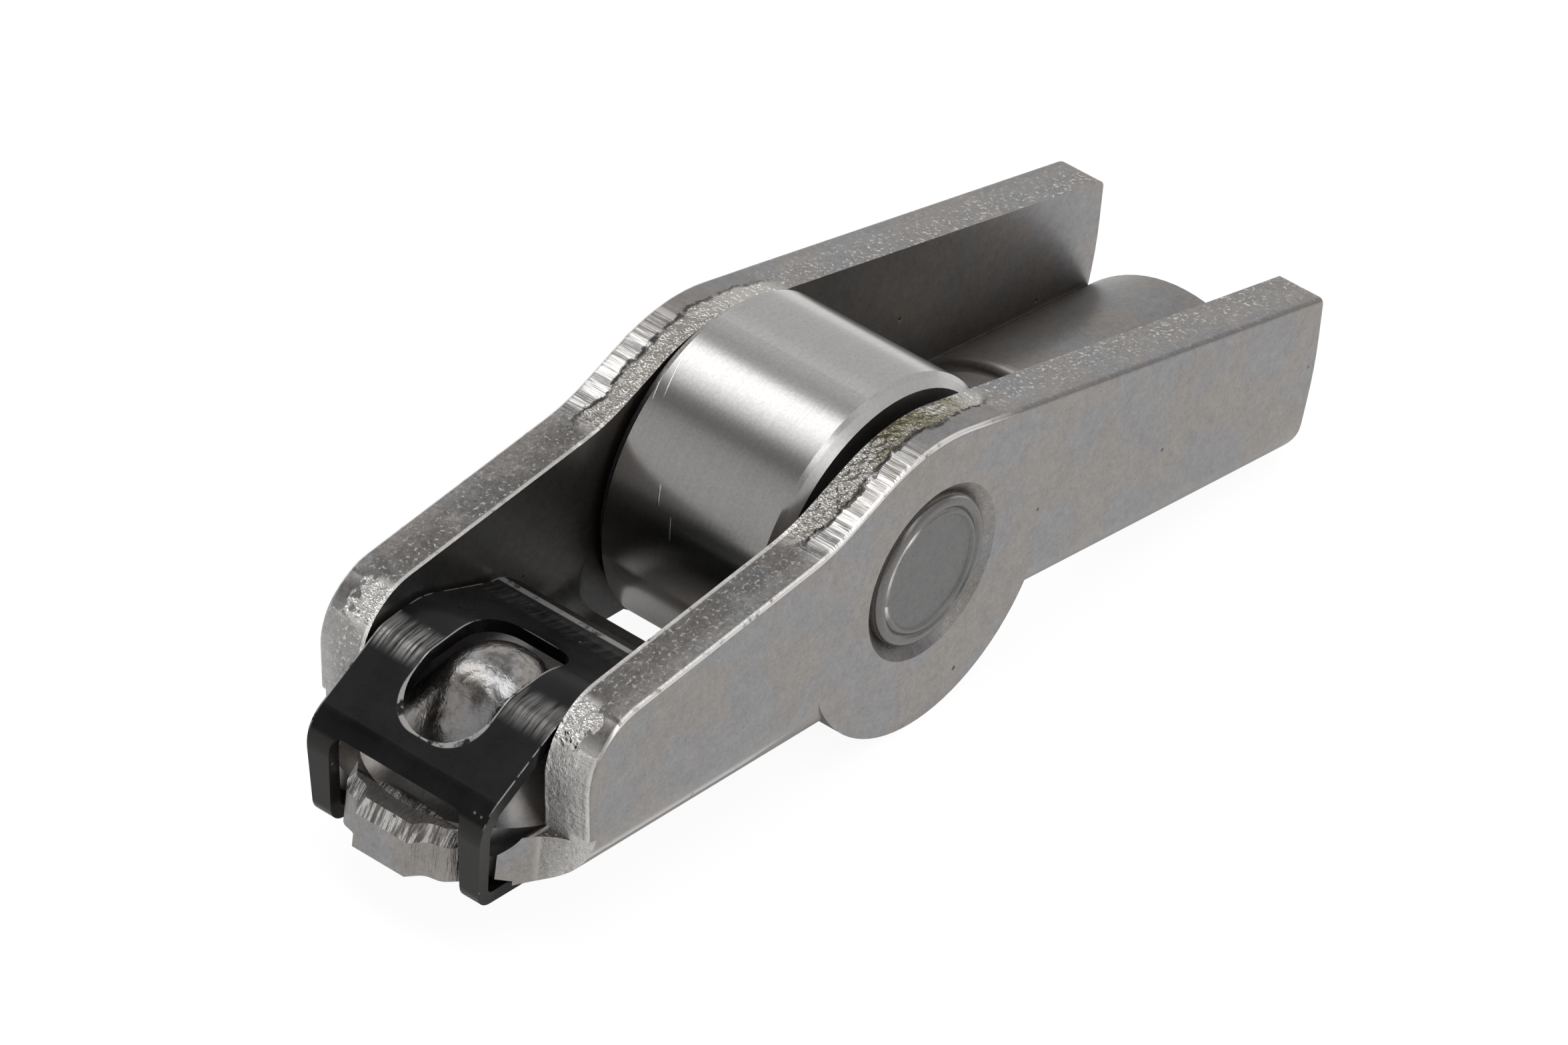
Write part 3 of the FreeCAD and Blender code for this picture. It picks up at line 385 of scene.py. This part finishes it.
@dataclass(frozen=True)
class TumbledSteel:
    """Pressed sheet steel, tumbled to a satin grey, with the shear and break of the press on its edges."""

    body: Colour = (0.268, 0.258, 0.250)
    warm: Colour = (0.276, 0.258, 0.243)
    cool: Colour = (0.254, 0.256, 0.266)
    sheared: Colour = (0.640, 0.628, 0.610)
    torn: Colour = (0.500, 0.480, 0.450)
    oiled: Colour = (0.235, 0.218, 0.145)
    # Light colour for real rubbing and for painted highlights and glints.
    wear_and_highlight: Colour = (0.800, 0.785, 0.760)
    # Colour of real pits, also used for painted shade.
    pit_and_shade: Colour = (0.045, 0.041, 0.038)
    sheet: float = 2.7
    half_width: float = half_width_of("arm")
    edge_round: float = 0.35
    hump: Span = (-7.2, 5.0)
    drag_reach: Span = (-7.4, -1.0)
    oil_reach: Span = (-1.5, 3.8)
    corner_x: float = -21.6
    corner_z: float = 4.2
    front_x: float = -22.5
    bore_clear: float = 5.0
    sink_round: float = 4.817
    dome_tilt: float = math.radians(9.6)
    socket_x: float = -22.34
    socket_z: float = -1.718
    dome_reach: float = 4.3
    socket_round: float = 4.6
    nose_root: float = 5.7
    nose_half_width: float = 4.4
    guide_reach: Span = (18.5, 29.0)
    guide_half_width: float = 3.0

    def cut_marks(self, g: Graph, spot: Spot, facing: tuple[Signal, Signal, Signal]) -> CutMarks:
        """Lay out a smooth outer band and a broken inner band on the cut faces of the walls.

        Args:
            g: Graph of the material.
            spot: Point of the surface.
            facing: Direction that it faces.

        Returns:
            The masks and patterns.
        """
        nx, ny, nz = facing
        across = (abs(spot.y) - (self.half_width - self.sheet)) / self.sheet
        upward = nz.rise(0.4, 0.7)
        wave = g.noise(spot.at, 0.45, 3.0, 0.6)
        ripple = g.noise(spot.at, 2.4, 2.0)
        face = across.rise(-0.03, 0.01) & abs(ny).rise(0.80, 0.62) & nz.rise(-0.5, -0.2)
        hump = spot.x.within(*self.hump, 1.6) & upward
        corner = spot.x.rise(self.corner_x, self.corner_x - 0.8)
        corner = corner & spot.z.rise(self.corner_z, self.corner_z + 0.7)
        share = 0.30 + 0.18 * hump + 0.26 * corner
        share = share + 0.5 * (wave - 0.5) + (0.2 + 0.5 * corner) * (ripple - 0.5)
        broken = face & (hump | corner) & across.rise(share + 0.05, share - 0.03)
        smooth = face & (1.0 - broken)
        patchy = 0.25 + 0.75 * across.rise(0.85, 0.35) * wave.rise(0.30, 0.48)
        foremost = spot.x.rise(self.front_x, self.front_x - 1.0)
        return CutMarks(
            face=face, across=across, wave=wave, corner=corner, broken=broken,
            crack=face & hump & abs(across - share).rise(0.075, 0.02) & ripple.rise(0.38, 0.5),
            rubbed=smooth & (1.0 - (hump | corner)) & patchy,
            front=nx.rise(-0.55, -0.8) & across.rise(-0.05, 0.0) & foremost,
            dragged=smooth & spot.x.within(*self.drag_reach, 1.2) & upward,
            drag=g.noise(spot.stretched((3.4, 0.16, 0.8)), 1.0, 3.0, 0.65),
            mottle=g.noise(spot.shifted(2.0, 7.0, 1.0), 2.6, 5.0, 0.75),
            # Fine speckle for the relief, also used for painted glints.
            speckle_and_glints=g.noise(spot.at, 4.6, 2.0, 0.6),
            tear=g.noise(spot.stretched((0.5, 0.22, 3.4)), 1.0, 3.0, 0.68))

    def form_marks(self, g: Graph, spot: Spot, nz: Signal) -> FormMarks:
        """Lay out the marks of the dome over the ball socket, the nose and the valve guide.

        Args:
            g: Graph of the material.
            spot: Point of the surface.
            nz: How much the surface faces up.

        Returns:
            The masks and patterns.
        """
        dx, dz = spot.x - self.socket_x, spot.z - self.socket_z
        ahead = dx * -math.cos(self.dome_tilt) + dz * math.sin(self.dome_tilt)
        up = dx * math.sin(self.dome_tilt) + dz * math.cos(self.dome_tilt)
        round_socket = (ahead * ahead + spot.y * spot.y) ** 0.5
        aside = abs(spot.y)
        socket = round_socket.rise(self.socket_round, self.socket_round - 0.4)
        socket = socket & up.rise(3.9, 3.7) & nz.rise(0.1, -0.15)
        guide = aside.rise(self.guide_half_width, self.guide_half_width - 0.4)
        guide = guide & spot.x.within(*self.guide_reach, 0.6) & nz.rise(-0.75, -0.9)
        nose = ahead.rise(self.nose_root - 0.15, self.nose_root + 0.1)
        nose = nose & aside.rise(self.nose_half_width, self.nose_half_width - 0.2)
        return FormMarks(
            dome=round_socket.rise(self.dome_reach, self.dome_reach - 0.8) & up.rise(0.7, 1.2),
            polished=socket | guide,
            nose=nose,
            bevel=nose & nz.within(0.30, 0.93, 0.05),
            stains=g.noise(spot.at, 0.8, 4.0, 0.6).rise(0.46, 0.66),
            peel=g.noise(spot.at, 1.35, 3.0, 0.55, 0.6),
            ridges=g.noise(spot.stretched((0.6, 5.6, 0.5)), 1.0, 4.0, 0.7))

    def edge_marks(self, g: Graph, spot: Spot, facing: tuple[Signal, Signal, Signal], cut: CutMarks
                   ) -> EdgeMarks:
        """Lay out the wall edges: a painted highlight along the outer rounded edge towards the nose and
        along the inner top edge there, and a painted shade line along the outer rounded edge towards the
        valve.

        Args:
            g: Graph of the material.
            spot: Point of the surface.
            facing: Direction that it faces.
            cut: Marks on the cut faces.

        Returns:
            The masks.
        """
        _, ny, nz = facing
        breaks = g.noise(spot.at, 1.3, 3.0, 0.6)
        outer = self.half_width - self.edge_round
        off_bore = spot.from_axle().rise(self.bore_clear, self.bore_clear + 0.29)
        rolled = abs(spot.y).rise(outer, outer + 0.12) & (abs(ny) * abs(nz)).rise(0.24, 0.42)
        rolled = rolled & off_bore & spot.z.rise(-3.2, -2.8)
        inner = cut.across.rise(0.10, 0.055) & cut.across.rise(-0.03, 0.01)
        inner = inner & spot.x.rise(-5.0, -8.0) & cut.face & breaks.rise(0.26, 0.40)
        # Painted highlight on the rounded outer edge and the inner top edge towards the nose; painted shade
        # line on the rounded edge towards the valve.
        return EdgeMarks(
            bright=rolled & spot.x.rise(7.0, 3.0) & breaks.rise(0.28, 0.46) | inner,
            edge_shade=rolled & spot.x.rise(3.0, 7.0) & breaks.rise(0.74, 0.60))

    def colour(self, g: Graph, spot: Spot, ny: Signal, grain: Signal, cloud: Signal, pits: Signal,
               cut: CutMarks, form: FormMarks, edges: EdgeMarks) -> bpy.types.NodeSocket:
        """Colour the skin first and then what lies over it.

        Args:
            g: Graph of the material.
            spot: Point of the surface.
            ny: How much the surface faces across.
            grain: Fine pattern of the skin.
            cloud: Broad pattern of the skin.
            pits: Mask of small pits.
            cut: Marks on the cut faces.
            form: Marks of the dome, the nose and the valve guide.
            edges: Marks of the wall edges.

        Returns:
            The colour.
        """
        tint = g.noise(spot.shifted(31.0, 7.0, 3.0), 0.3, 2.0)
        blotch = g.noise(spot.at, 1.1, 5.0, 0.7)
        speck = g.noise(spot.at, 3.0, 3.0, 0.8)
        colour = g.blend(tint.rise(0.35, 0.6), self.body, self.warm)
        colour = g.blend(tint.rise(0.56, 0.40) * 0.5, colour, self.cool)
        colour = g.shaded(colour, 0.10 + 0.62 * grain + 0.14 * cloud + 0.46 * blotch + 0.60 * speck)

        mottled = g.shaded(colour, 0.20 + 1.25 * cut.mottle)
        colour = g.blend(cut.face & spot.x.rise(-4.0, -8.0), colour, mottled)
        colour = g.blend(cut.dragged * cut.drag.rise(0.42, 0.60), colour, self.sheared)
        # The cut front faces are lightened, less on the far wall: a painted shade on the far wall's front
        # faces.
        far_wall_shade = spot.y.rise(-1.0, 1.0)
        colour = g.blend(cut.front * (0.45 + 0.45 * cut.tear) * (1.0 - 0.55 * far_wall_shade), colour, self.wear_and_highlight)
        colour = g.blend(cut.broken, colour, self.torn)
        colour = g.blend(cut.broken & cut.corner, colour, self.sheared)
        oil = cut.broken & spot.y.rise(-5.0, -5.5) & spot.x.within(*self.oil_reach, 1.2)
        colour = g.blend(oil * (0.15 + 0.85 * cut.wave.rise(0.36, 0.56)), colour, self.oiled)

        colour = g.blend(form.dome, colour, g.shaded(colour, 1.32 - 0.80 * form.stains))
        # Painted glints: sparse light specks on the smooth cut faces away from the hump and the front
        # corner.
        colour = g.blend(cut.rubbed * cut.speckle_and_glints.rise(0.56, 0.68) * 0.85, colour, self.wear_and_highlight)
        colour = g.blend(edges.bright, colour, self.wear_and_highlight)
        # Painted glints on the nose bevel's ridge crests and painted shade in the grooves between them.
        ridge_highlight = form.bevel * form.ridges.rise(0.47, 0.58)
        colour = g.blend((form.polished | ridge_highlight) * 0.8, colour, self.wear_and_highlight)
        colour = g.blend(form.bevel * form.ridges.rise(0.46, 0.40) * 0.5, colour, self.pit_and_shade)

        # Painted shade in the countersink round the axle bore, deeper on the nose side, and a painted shade
        # line along the outer top edge towards the valve; the crack line is a real mark.
        sink_shade = spot.from_axle().rise(self.sink_round, self.sink_round - 0.148)
        sink_shade = sink_shade & abs(spot.y).rise(7.6, 7.8) & abs(ny).rise(0.97, 0.9)
        crack_and_shade = cut.crack | edges.edge_shade * 0.3 | sink_shade * (0.15 + 0.5 * spot.x.rise(1.5, -1.5))
        colour = g.blend(crack_and_shade * 0.9, colour, self.pit_and_shade)
        return g.blend(pits * 0.8, colour, self.pit_and_shade)

    def relief(self, g: Graph, spot: Spot, grain: Signal, pits: Signal, cut: CutMarks, form: FormMarks
               ) -> Signal:
        """Height of the surface over the solid, in millimetres.

        Args:
            g: Graph of the material.
            spot: Point of the surface.
            grain: Fine pattern of the skin.
            pits: Mask of small pits.
            cut: Marks on the cut faces.
            form: Marks of the dome, the nose and the valve guide.

        Returns:
            The height.
        """
        crystals = g.cells(spot.at, 2.4)
        facets = g.cells(spot.shifted(5.0, 2.0, 9.0), 4.6)
        height = 0.0034 * grain - 0.03 * pits
        height = height + 0.060 * cut.drag * cut.dragged
        height = height + cut.rubbed * (0.40 * cut.mottle + 0.075 * cut.speckle_and_glints)
        height = height + cut.broken * (0.30 * crystals + 0.14 * facets)
        height = height + cut.front * 0.12 * cut.tear - 0.10 * cut.crack
        return height + form.dome * 0.075 * form.peel + form.nose * 0.10 * form.ridges

    def material(self) -> bpy.types.Material:
        """Build the finish.

        Returns:
            The material.
        """
        g = Graph.of_material("TumbledSteel")
        spot = Spot(g)
        facing = spot.facing()
        _, ny, nz = facing
        cut = self.cut_marks(g, spot, facing)
        form = self.form_marks(g, spot, nz)
        edges = self.edge_marks(g, spot, facing, cut)
        grain = g.noise(spot.at, 8.0, 4.0, 0.7)
        cloud = g.noise(spot.at, 0.16, 2.0)
        pits = g.cells(spot.at, 0.35).rise(0.050, 0.035)

        rough = 0.38 + 0.20 * (grain - 0.5) + 0.08 * (cloud - 0.5)
        rough = rough - 0.14 * cut.dragged - 0.19 * cut.broken - 0.10 * cut.rubbed - 0.08 * cut.front
        rough = rough - 0.13 * form.dome - 0.16 * form.polished - 0.12 * form.bevel - 0.12 * edges.bright
        return g.finish(
            Base_Color=self.colour(g, spot, ny, grain, cloud, pits, cut, form, edges), Metallic=1.0,
            Roughness=rough.held(), Normal=g.relief(self.relief(g, spot, grain, pits, cut, form)))


@dataclass(frozen=True)
class RubMark:
    """Short rub mark on the roller's rim: its angle in degrees, then millimetres."""

    angle: float
    beside: float
    half_length: float
    half_width: float

    def mask(self, spot: Spot, degrees: Signal, radius: float) -> Signal:
        """Mask of the mark, which runs round the rim with a slight slant.

        Args:
            spot: Point of the surface.
            degrees: Angle of the point round the roller.
            radius: Radius of the rim.

        Returns:
            The mask.
        """
        arc = (degrees - self.angle) * math.radians(radius)
        slanted = abs(spot.y - self.beside + 0.22 * arc)
        along = abs(arc).rise(self.half_length, self.half_length * 0.4)
        return along & slanted.rise(self.half_width, self.half_width * 0.3)


@dataclass(frozen=True)
class GroundSteel:
    """Hardened bearing steel, ground round its axis: fine lines, soft bands and a few rub marks."""

    name: str = "GroundSteel"
    body: Colour = (0.470, 0.462, 0.455)
    shade: Colour = (0.400, 0.392, 0.385)
    scratch: Colour = (0.900, 0.890, 0.870)
    radius: float = 8.65
    middle: float = middle_of("roller")
    half_width: float = half_width_of("roller")
    rim_inset: float = 0.42
    marks: tuple[RubMark, ...] = (
        RubMark(152.0, 2.05, 0.55, 0.05), RubMark(160.5, 0.95, 0.65, 0.05),
        RubMark(117.5, 4.35, 1.1, 0.035), RubMark(121.5, 4.75, 0.8, 0.03))

    def material(self) -> bpy.types.Material:
        """Build the finish.

        Returns:
            The material.
        """
        g = Graph.of_material(self.name)
        spot = Spot(g)
        rim_end = self.half_width - self.rim_inset
        rim = abs(spot.y - self.middle).rise(rim_end + 0.06, rim_end)
        degrees = spot.bearing() * (180.0 / math.pi)
        marks: Value = 0.0
        for mark in self.marks:
            marks = mark.mask(spot, degrees, self.radius) | marks
        marks = rim & marks

        ring_lines = g.noise(spot.stretched((0.10, 9.0, 0.10)), 1.0, 4.0, 0.65)
        fine_lines = g.noise(spot.stretched((0.35, 28.0, 0.35)), 1.0, 2.0)
        turned = g.noise(g.join(spot.from_axle() * 9.0, degrees * 0.012, spot.y * 0.1), 1.0, 3.0, 0.6)
        speckle = g.noise(spot.at, 6.0, 4.0, 0.7)
        bloom = g.noise(spot.stretched((0.35, 0.12, 0.35)), 1.0, 2.0)

        colour = g.blend(ring_lines.rise(0.35, 0.65) * rim * 0.35, self.body, self.shade)
        colour = g.shaded(colour, 0.75 + 0.50 * speckle)
        colour = g.blend(marks, colour, self.scratch)
        rough = 0.20 + 0.03 * (ring_lines - 0.5) + 0.05 * (bloom - 0.5) + 0.10 * (1.0 - rim)
        height = rim * (0.0011 * ring_lines + 0.0007 * fine_lines) + (1.0 - rim) * 0.004 * turned
        height = height + 0.0012 * speckle + 0.02 * marks
        return g.finish(Base_Color=colour, Metallic=1.0, Roughness=rough.held(), Normal=g.relief(height))


@dataclass(frozen=True)
class AxleSteel:
    """Axle whose end faces are turned and staked in a ring, with a painted highlight on part of the ring
    and the end face's outer edge.
    """

    face: Colour = (0.195, 0.193, 0.191)
    rim: Colour = (0.160, 0.156, 0.152)
    # Light colour of the painted highlight.
    wear_and_highlight: Colour = (0.850, 0.835, 0.810)
    journal: Colour = (0.480, 0.472, 0.465)
    dust: Colour = (0.100, 0.090, 0.085)
    half_length: float = half_width_of("axle")
    end_depth: float = 0.2
    ring: float = 3.35
    ring_half_width: float = 0.16
    disc: float = 3.1
    outline: float = 3.84

    def material(self) -> bpy.types.Material:
        """Build the finish.

        Returns:
            The material.
        """
        g = Graph.of_material("AxleSteel")
        spot = Spot(g)
        from_axle = spot.from_axle()
        bearing = spot.bearing()
        end_start = self.half_length - self.end_depth
        end = abs(spot.y).rise(end_start - 0.1, end_start)
        disc = end & from_axle.rise(self.disc + 0.06, self.disc - 0.02)
        ring = end & abs(from_axle - self.ring).rise(self.ring_half_width, self.ring_half_width * 0.3)
        # Painted highlight: the ring's upper side towards the nose, and the end face's outer edge on the
        # valve side.
        outline = end & from_axle.rise(self.outline, self.outline + 0.08) & spot.x.rise(1.0, 2.4)
        lit = ring & (spot.z * 1.3 - spot.x).rise(1.6, 3.6) | outline

        grain = g.noise(spot.at, 8.0, 4.0, 0.7)
        speck = g.noise(spot.at, 3.0, 3.0, 0.8)
        cloud = g.noise(spot.at, 0.6, 2.0)
        turned = g.noise(g.join(from_axle * 7.0, bearing * 0.35, spot.y * 0.1), 1.0, 3.0, 0.6)
        highlight_breaks = g.noise(g.join(from_axle * 1.2, bearing * 1.1, spot.y), 1.0, 2.0).rise(0.40, 0.60)
        specks = g.cells(spot.at, 1.6).rise(0.10, 0.06)
        journal = g.noise(spot.stretched((0.2, 9.0, 0.2)), 1.0, 3.0)

        colour = g.blend(end, self.journal, self.rim)
        colour = g.blend(disc, colour, self.face)
        colour = g.blend(lit * (0.08 + 0.60 * highlight_breaks), colour, self.wear_and_highlight)
        colour = g.shaded(colour, 0.45 + 0.50 * grain + 0.08 * cloud + 0.50 * speck)
        colour = g.blend(specks * disc * 0.6, colour, self.dust)
        rough = 0.26 + 0.24 * disc + 0.12 * (grain - 0.5) + 0.05 * end
        height = end * 0.004 * turned + 0.004 * grain * end + (1.0 - end) * 0.002 * journal
        return g.finish(Base_Color=colour, Metallic=1.0, Roughness=rough.held(), Normal=g.relief(height))


@dataclass(frozen=True)
class BlackOxide:
    """Blackened spring steel, oiled to half a gloss, rubbed to bare steel along its high lines, with a
    painted reflection on the legs and a painted highlight near the tail's end.
    """

    black: Colour = (0.0035, 0.0035, 0.0040)
    smoke: Colour = (0.0090, 0.0088, 0.0090)
    leg_reflection: Colour = (0.0200, 0.0185, 0.0170)
    bare: Colour = (0.420, 0.410, 0.400)
    dust: Colour = (0.220, 0.200, 0.180)
    half_width: float = half_width_of("clip")
    crest_x: float = -23.3
    hole_middle: float = -22.55
    hole_half_length: float = 4.15
    hole_half_width: float = 2.45
    hole_round: float = 1.9
    tail_x: float = -14.8
    tail_highlight: Span = (-16.6, -15.9)
    leg_x: float = -27.3

    def from_hole(self, g: Graph, spot: Spot) -> Signal:
        """Distance from the edge of the long hole, which has round corners.

        Args:
            g: Graph of the material.
            spot: Point of the surface.

        Returns:
            The distance in millimetres.
        """
        straight_x = self.hole_half_length - self.hole_round
        straight_y = self.hole_half_width - self.hole_round
        along = g.math("MAXIMUM", abs(spot.x - self.hole_middle) - straight_x, 0.0)
        aside = g.math("MAXIMUM", abs(spot.y) - straight_y, 0.0)
        return (along * along + aside * aside) ** 0.5 - self.hole_round

    def bare_and_highlight(self, g: Graph, spot: Spot, top: Signal, crest: Signal, streaks: Signal) -> Signal:
        """Mask of the bare steel along the high lines and edges, and of a painted highlight near the tail's
        end.

        Args:
            g: Graph of the material.
            spot: Point of the surface.
            top: Where the clip faces up.
            crest: Where the saddle is highest.
            streaks: Pattern of the scuffs.

        Returns:
            The mask.
        """
        aside = abs(spot.y)
        breaks = g.noise(spot.at, 1.1, 3.0, 0.65)
        hole_line = self.from_hole(g, spot).rise(0.11, 0.05) & breaks.rise(0.36, 0.5)
        side_line = aside.rise(self.half_width - 0.10, self.half_width - 0.03) & breaks.rise(0.42, 0.56)
        # Painted highlight: a thin line and a faint streaky band near the tail's end.
        tail_highlight_line = spot.x.within(self.tail_x - 0.55, self.tail_x - 0.30, 0.08) & breaks.rise(0.30, 0.5)
        far_side = spot.y.rise(-1.0, 1.0)
        crest_scuff = crest * streaks.rise(0.32, 0.64) * (0.40 + 0.22 * far_side)
        tail_highlight = (spot.x.within(*self.tail_highlight, 0.5) & top) * streaks.rise(0.40, 0.7) * 0.07
        return crest_scuff + tail_highlight | ((hole_line | side_line | tail_highlight_line) & top) * 0.75

    def material(self) -> bpy.types.Material:
        """Build the finish.

        Returns:
            The material.
        """
        g = Graph.of_material("BlackOxide")
        spot = Spot(g)
        _, _, nz = spot.facing()
        top = nz.rise(0.35, 0.7)
        crest = spot.x.within(self.crest_x - 0.45, self.crest_x + 0.55, 0.8)
        crest = crest & abs(spot.y).rise(2.5, 2.8) & top
        # Painted reflection: the legs, which do not face up, get a lighter black.
        front = top.rise(0.6, 0.2) & spot.x.rise(self.leg_x, self.leg_x - 0.6)
        grain = g.noise(spot.at, 9.0, 3.0, 0.6)
        cloud = g.noise(spot.at, 0.5, 3.0, 0.6)
        ripple = g.noise(spot.at, 1.6, 2.0)
        streaks = g.noise(spot.stretched((0.30, 5.6, 0.30)), 1.0, 3.0, 0.65)
        specks = g.cells(spot.at, 0.85).rise(0.075, 0.05)
        bare_and_highlight = self.bare_and_highlight(g, spot, top, crest, streaks)

        colour = g.blend(cloud.rise(0.3, 0.7), self.black, self.smoke)
        colour = g.blend(front, colour, self.leg_reflection)
        colour = g.blend(bare_and_highlight, colour, self.bare)
        colour = g.blend(specks * 0.7, colour, self.dust)
        rough = 0.26 + 0.10 * (cloud - 0.5) + 0.14 * (grain - 0.5) + 0.06 * bare_and_highlight + 0.2 * specks
        height = 0.0020 * grain + 0.004 * streaks * crest + 0.006 * ripple
        return g.finish(Base_Color=colour, Metallic=bare_and_highlight, Roughness=rough.held(), Specular_IOR_Level=0.16,
                        Normal=g.relief(height))


@dataclass(frozen=True)
class PaleFloor:
    """White table that fades to plain white for the eye and in reflections, keeps a soft shadow, and
    carries a painted shadow under the part in reflections.
    """

    colour: Colour = (0.92, 0.92, 0.92)
    white: float = 1.06
    glow: float = 0.88
    end_inset: float = 0.0030
    side_inset: float = 0.00185
    soft: float = 0.003
    reflected_shadow: float = 0.9

    def under_part(self, x: Signal, y: Signal) -> Signal:
        """Mask of the floor that the part covers, in metres along and across."""
        low, high = CAD_BOX
        lengthwise = x.within(low.x + self.end_inset, high.x - self.end_inset, self.soft)
        return lengthwise & y.within(low.y + self.side_inset, high.y - self.side_inset, self.soft)

    def material(self) -> bpy.types.Material:
        """Build the finish, with a painted shadow under the part in what mirrors it.

        Returns:
            The material.
        """
        g = Graph.of_material("PaleFloor")
        path = g.node("ShaderNodeLightPath")
        mirrored = Signal(g, path.outputs["Is Glossy Ray"]) | Signal(g, path.outputs["Is Transmission Ray"])
        x, y, _ = g.split(g.node("ShaderNodeTexCoord").outputs["Object"])
        # Painted shadow: less white under the part for glossy and transmission rays.
        mirrored = mirrored * (1.0 - self.reflected_shadow * self.under_part(x, y))
        seen = Signal(g, path.outputs["Is Camera Ray"]) | mirrored
        matt = g.node("ShaderNodeBsdfDiffuse", None, {"Color": (*self.colour, 1.0)})
        white = g.node("ShaderNodeEmission", None, {"Color": (1, 1, 1, 1), "Strength": self.white})
        mixed = g.node("ShaderNodeMixShader", None, {
            0: seen * self.glow, 1: matt.outputs[0], 2: white.outputs[0]})
        return g.close(mixed.outputs[0])


def dress(node: str, finish: bpy.types.Material) -> bpy.types.Object:
    """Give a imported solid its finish.

    Args:
        node: Name of the solid.
        finish: The material.

    Returns:
        The solid's object.
    """
    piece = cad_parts[node]
    piece.data.materials.clear()
    piece.data.materials.append(finish)
    log.info("%s: %s", node, finish.name)
    return piece


@dataclass
class Channel:
    """Pressed channel with its staked axle."""

    sheet: TumbledSteel = field(default_factory=TumbledSteel)
    axle: AxleSteel = field(default_factory=AxleSteel)

    def build(self) -> None:
        """Dress the channel and the axle."""
        dress("arm", self.sheet.material())
        dress("axle", self.axle.material())


@dataclass
class Bearing:
    """Cam roller and the full set of needles that it turns on."""

    ring: GroundSteel = field(default_factory=GroundSteel)
    needle: GroundSteel = field(default_factory=lambda: GroundSteel(name="NeedleSteel", marks=()))

    def build(self) -> None:
        """Dress the roller and each of its needles."""
        dress("roller", self.ring.material())
        finish = self.needle.material()
        for node in sorted(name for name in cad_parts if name.startswith("needle_")):
            dress(node, finish)


@dataclass
class RetainingClip:
    """Spring clip over the dome."""

    finish: BlackOxide = field(default_factory=BlackOxide)

    def build(self) -> None:
        """Dress the clip."""
        dress("clip", self.finish.material())


@dataclass
class Studio:
    """Floor, surrounding light and camera.

    The sky is a list of bearings in degrees, from the valve's side upwards, each with the light there.
    """

    floor: PaleFloor = field(default_factory=PaleFloor)
    floor_reach: float = 3.0
    floor_gap: float = 0.00002
    sky: tuple[Span, ...] = (
        (-20.0, 0.72), (42.0, 0.76), (51.0, 0.98), (58.0, 0.84), (66.0, 0.52), (77.0, 0.50),
        (82.0, 2.50), (94.0, 2.40), (102.0, 1.60), (109.0, 0.90), (114.0, 0.26), (124.0, 0.14),
        (132.0, 0.46), (150.0, 0.56), (172.0, 0.52), (182.0, 0.34))
    eye: Colour = (-0.2904, -0.2366, 0.2960)
    look: Colour = (0.6374, 0.4840, -0.5995)
    eye_up: Colour = (0.4257, 0.4274, 0.7977)
    lens: float = 235.93
    sensor: float = 36.0

    def build(self) -> None:
        """Set the part on its floor, light it and place the camera."""
        self.lay_floor()
        self.light()
        self.place_camera()
        bpy.context.scene.view_settings.view_transform = "Standard"

    def lay_floor(self) -> None:
        """Lay the floor just under the part's lowest point."""
        height = CAD_BOX[0].z - self.floor_gap
        reach = self.floor_reach
        corners = [(-reach, -reach, height), (reach, -reach, height), (reach, reach, height),
                   (-reach, reach, height)]
        mesh = bpy.data.meshes.new("floor")
        mesh.from_pydata(corners, [], [(0, 1, 2, 3)])
        mesh.materials.append(self.floor.material())
        floor = bpy.data.objects.new("floor", mesh)
        bpy.context.scene.collection.objects.link(floor)
        log.info("floor at %.2f mm", height / MM)

    def light(self) -> None:
        """Surround the part with light that varies from end to end, with a long soft box overhead."""
        world = bpy.data.worlds.new("Studio")
        bpy.context.scene.world = world
        g = Graph(world)
        x, _, z = g.split(g.node("ShaderNodeTexCoord").outputs["Generated"])
        level = g.profile(g.math("ARCTAN2", z, x) * (180.0 / math.pi), self.sky)
        back = g.node("ShaderNodeBackground", None, {"Color": g.join(level, level, level), "Strength": 1.0})
        g.close(back.outputs[0], "ShaderNodeOutputWorld")
        log.info("surrounding light")

    def place_camera(self) -> None:
        """Stand the camera where the photograph was taken from."""
        data = bpy.data.cameras.new("camera")
        data.lens = self.lens
        data.sensor_width = self.sensor
        data.sensor_fit = "HORIZONTAL"
        data.clip_start, data.clip_end = 0.01, 20.0
        look = Vector(self.look).normalized()
        right = look.cross(Vector(self.eye_up)).normalized()
        up = right.cross(look)
        place = Matrix((right, up, -look)).transposed().to_4x4()
        place.translation = Vector(self.eye)
        camera = bpy.data.objects.new("camera", data)
        camera.matrix_world = place
        bpy.context.scene.collection.objects.link(camera)
        bpy.context.scene.camera = camera
        log.info("camera")


def main() -> None:
    """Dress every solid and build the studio."""
    logging.basicConfig(level=logging.INFO, format="%(name)s: %(message)s")
    for assembly in (Channel(), Bearing(), RetainingClip(), Studio()):
        assembly.build()


if __name__ == "__main__":
    main()
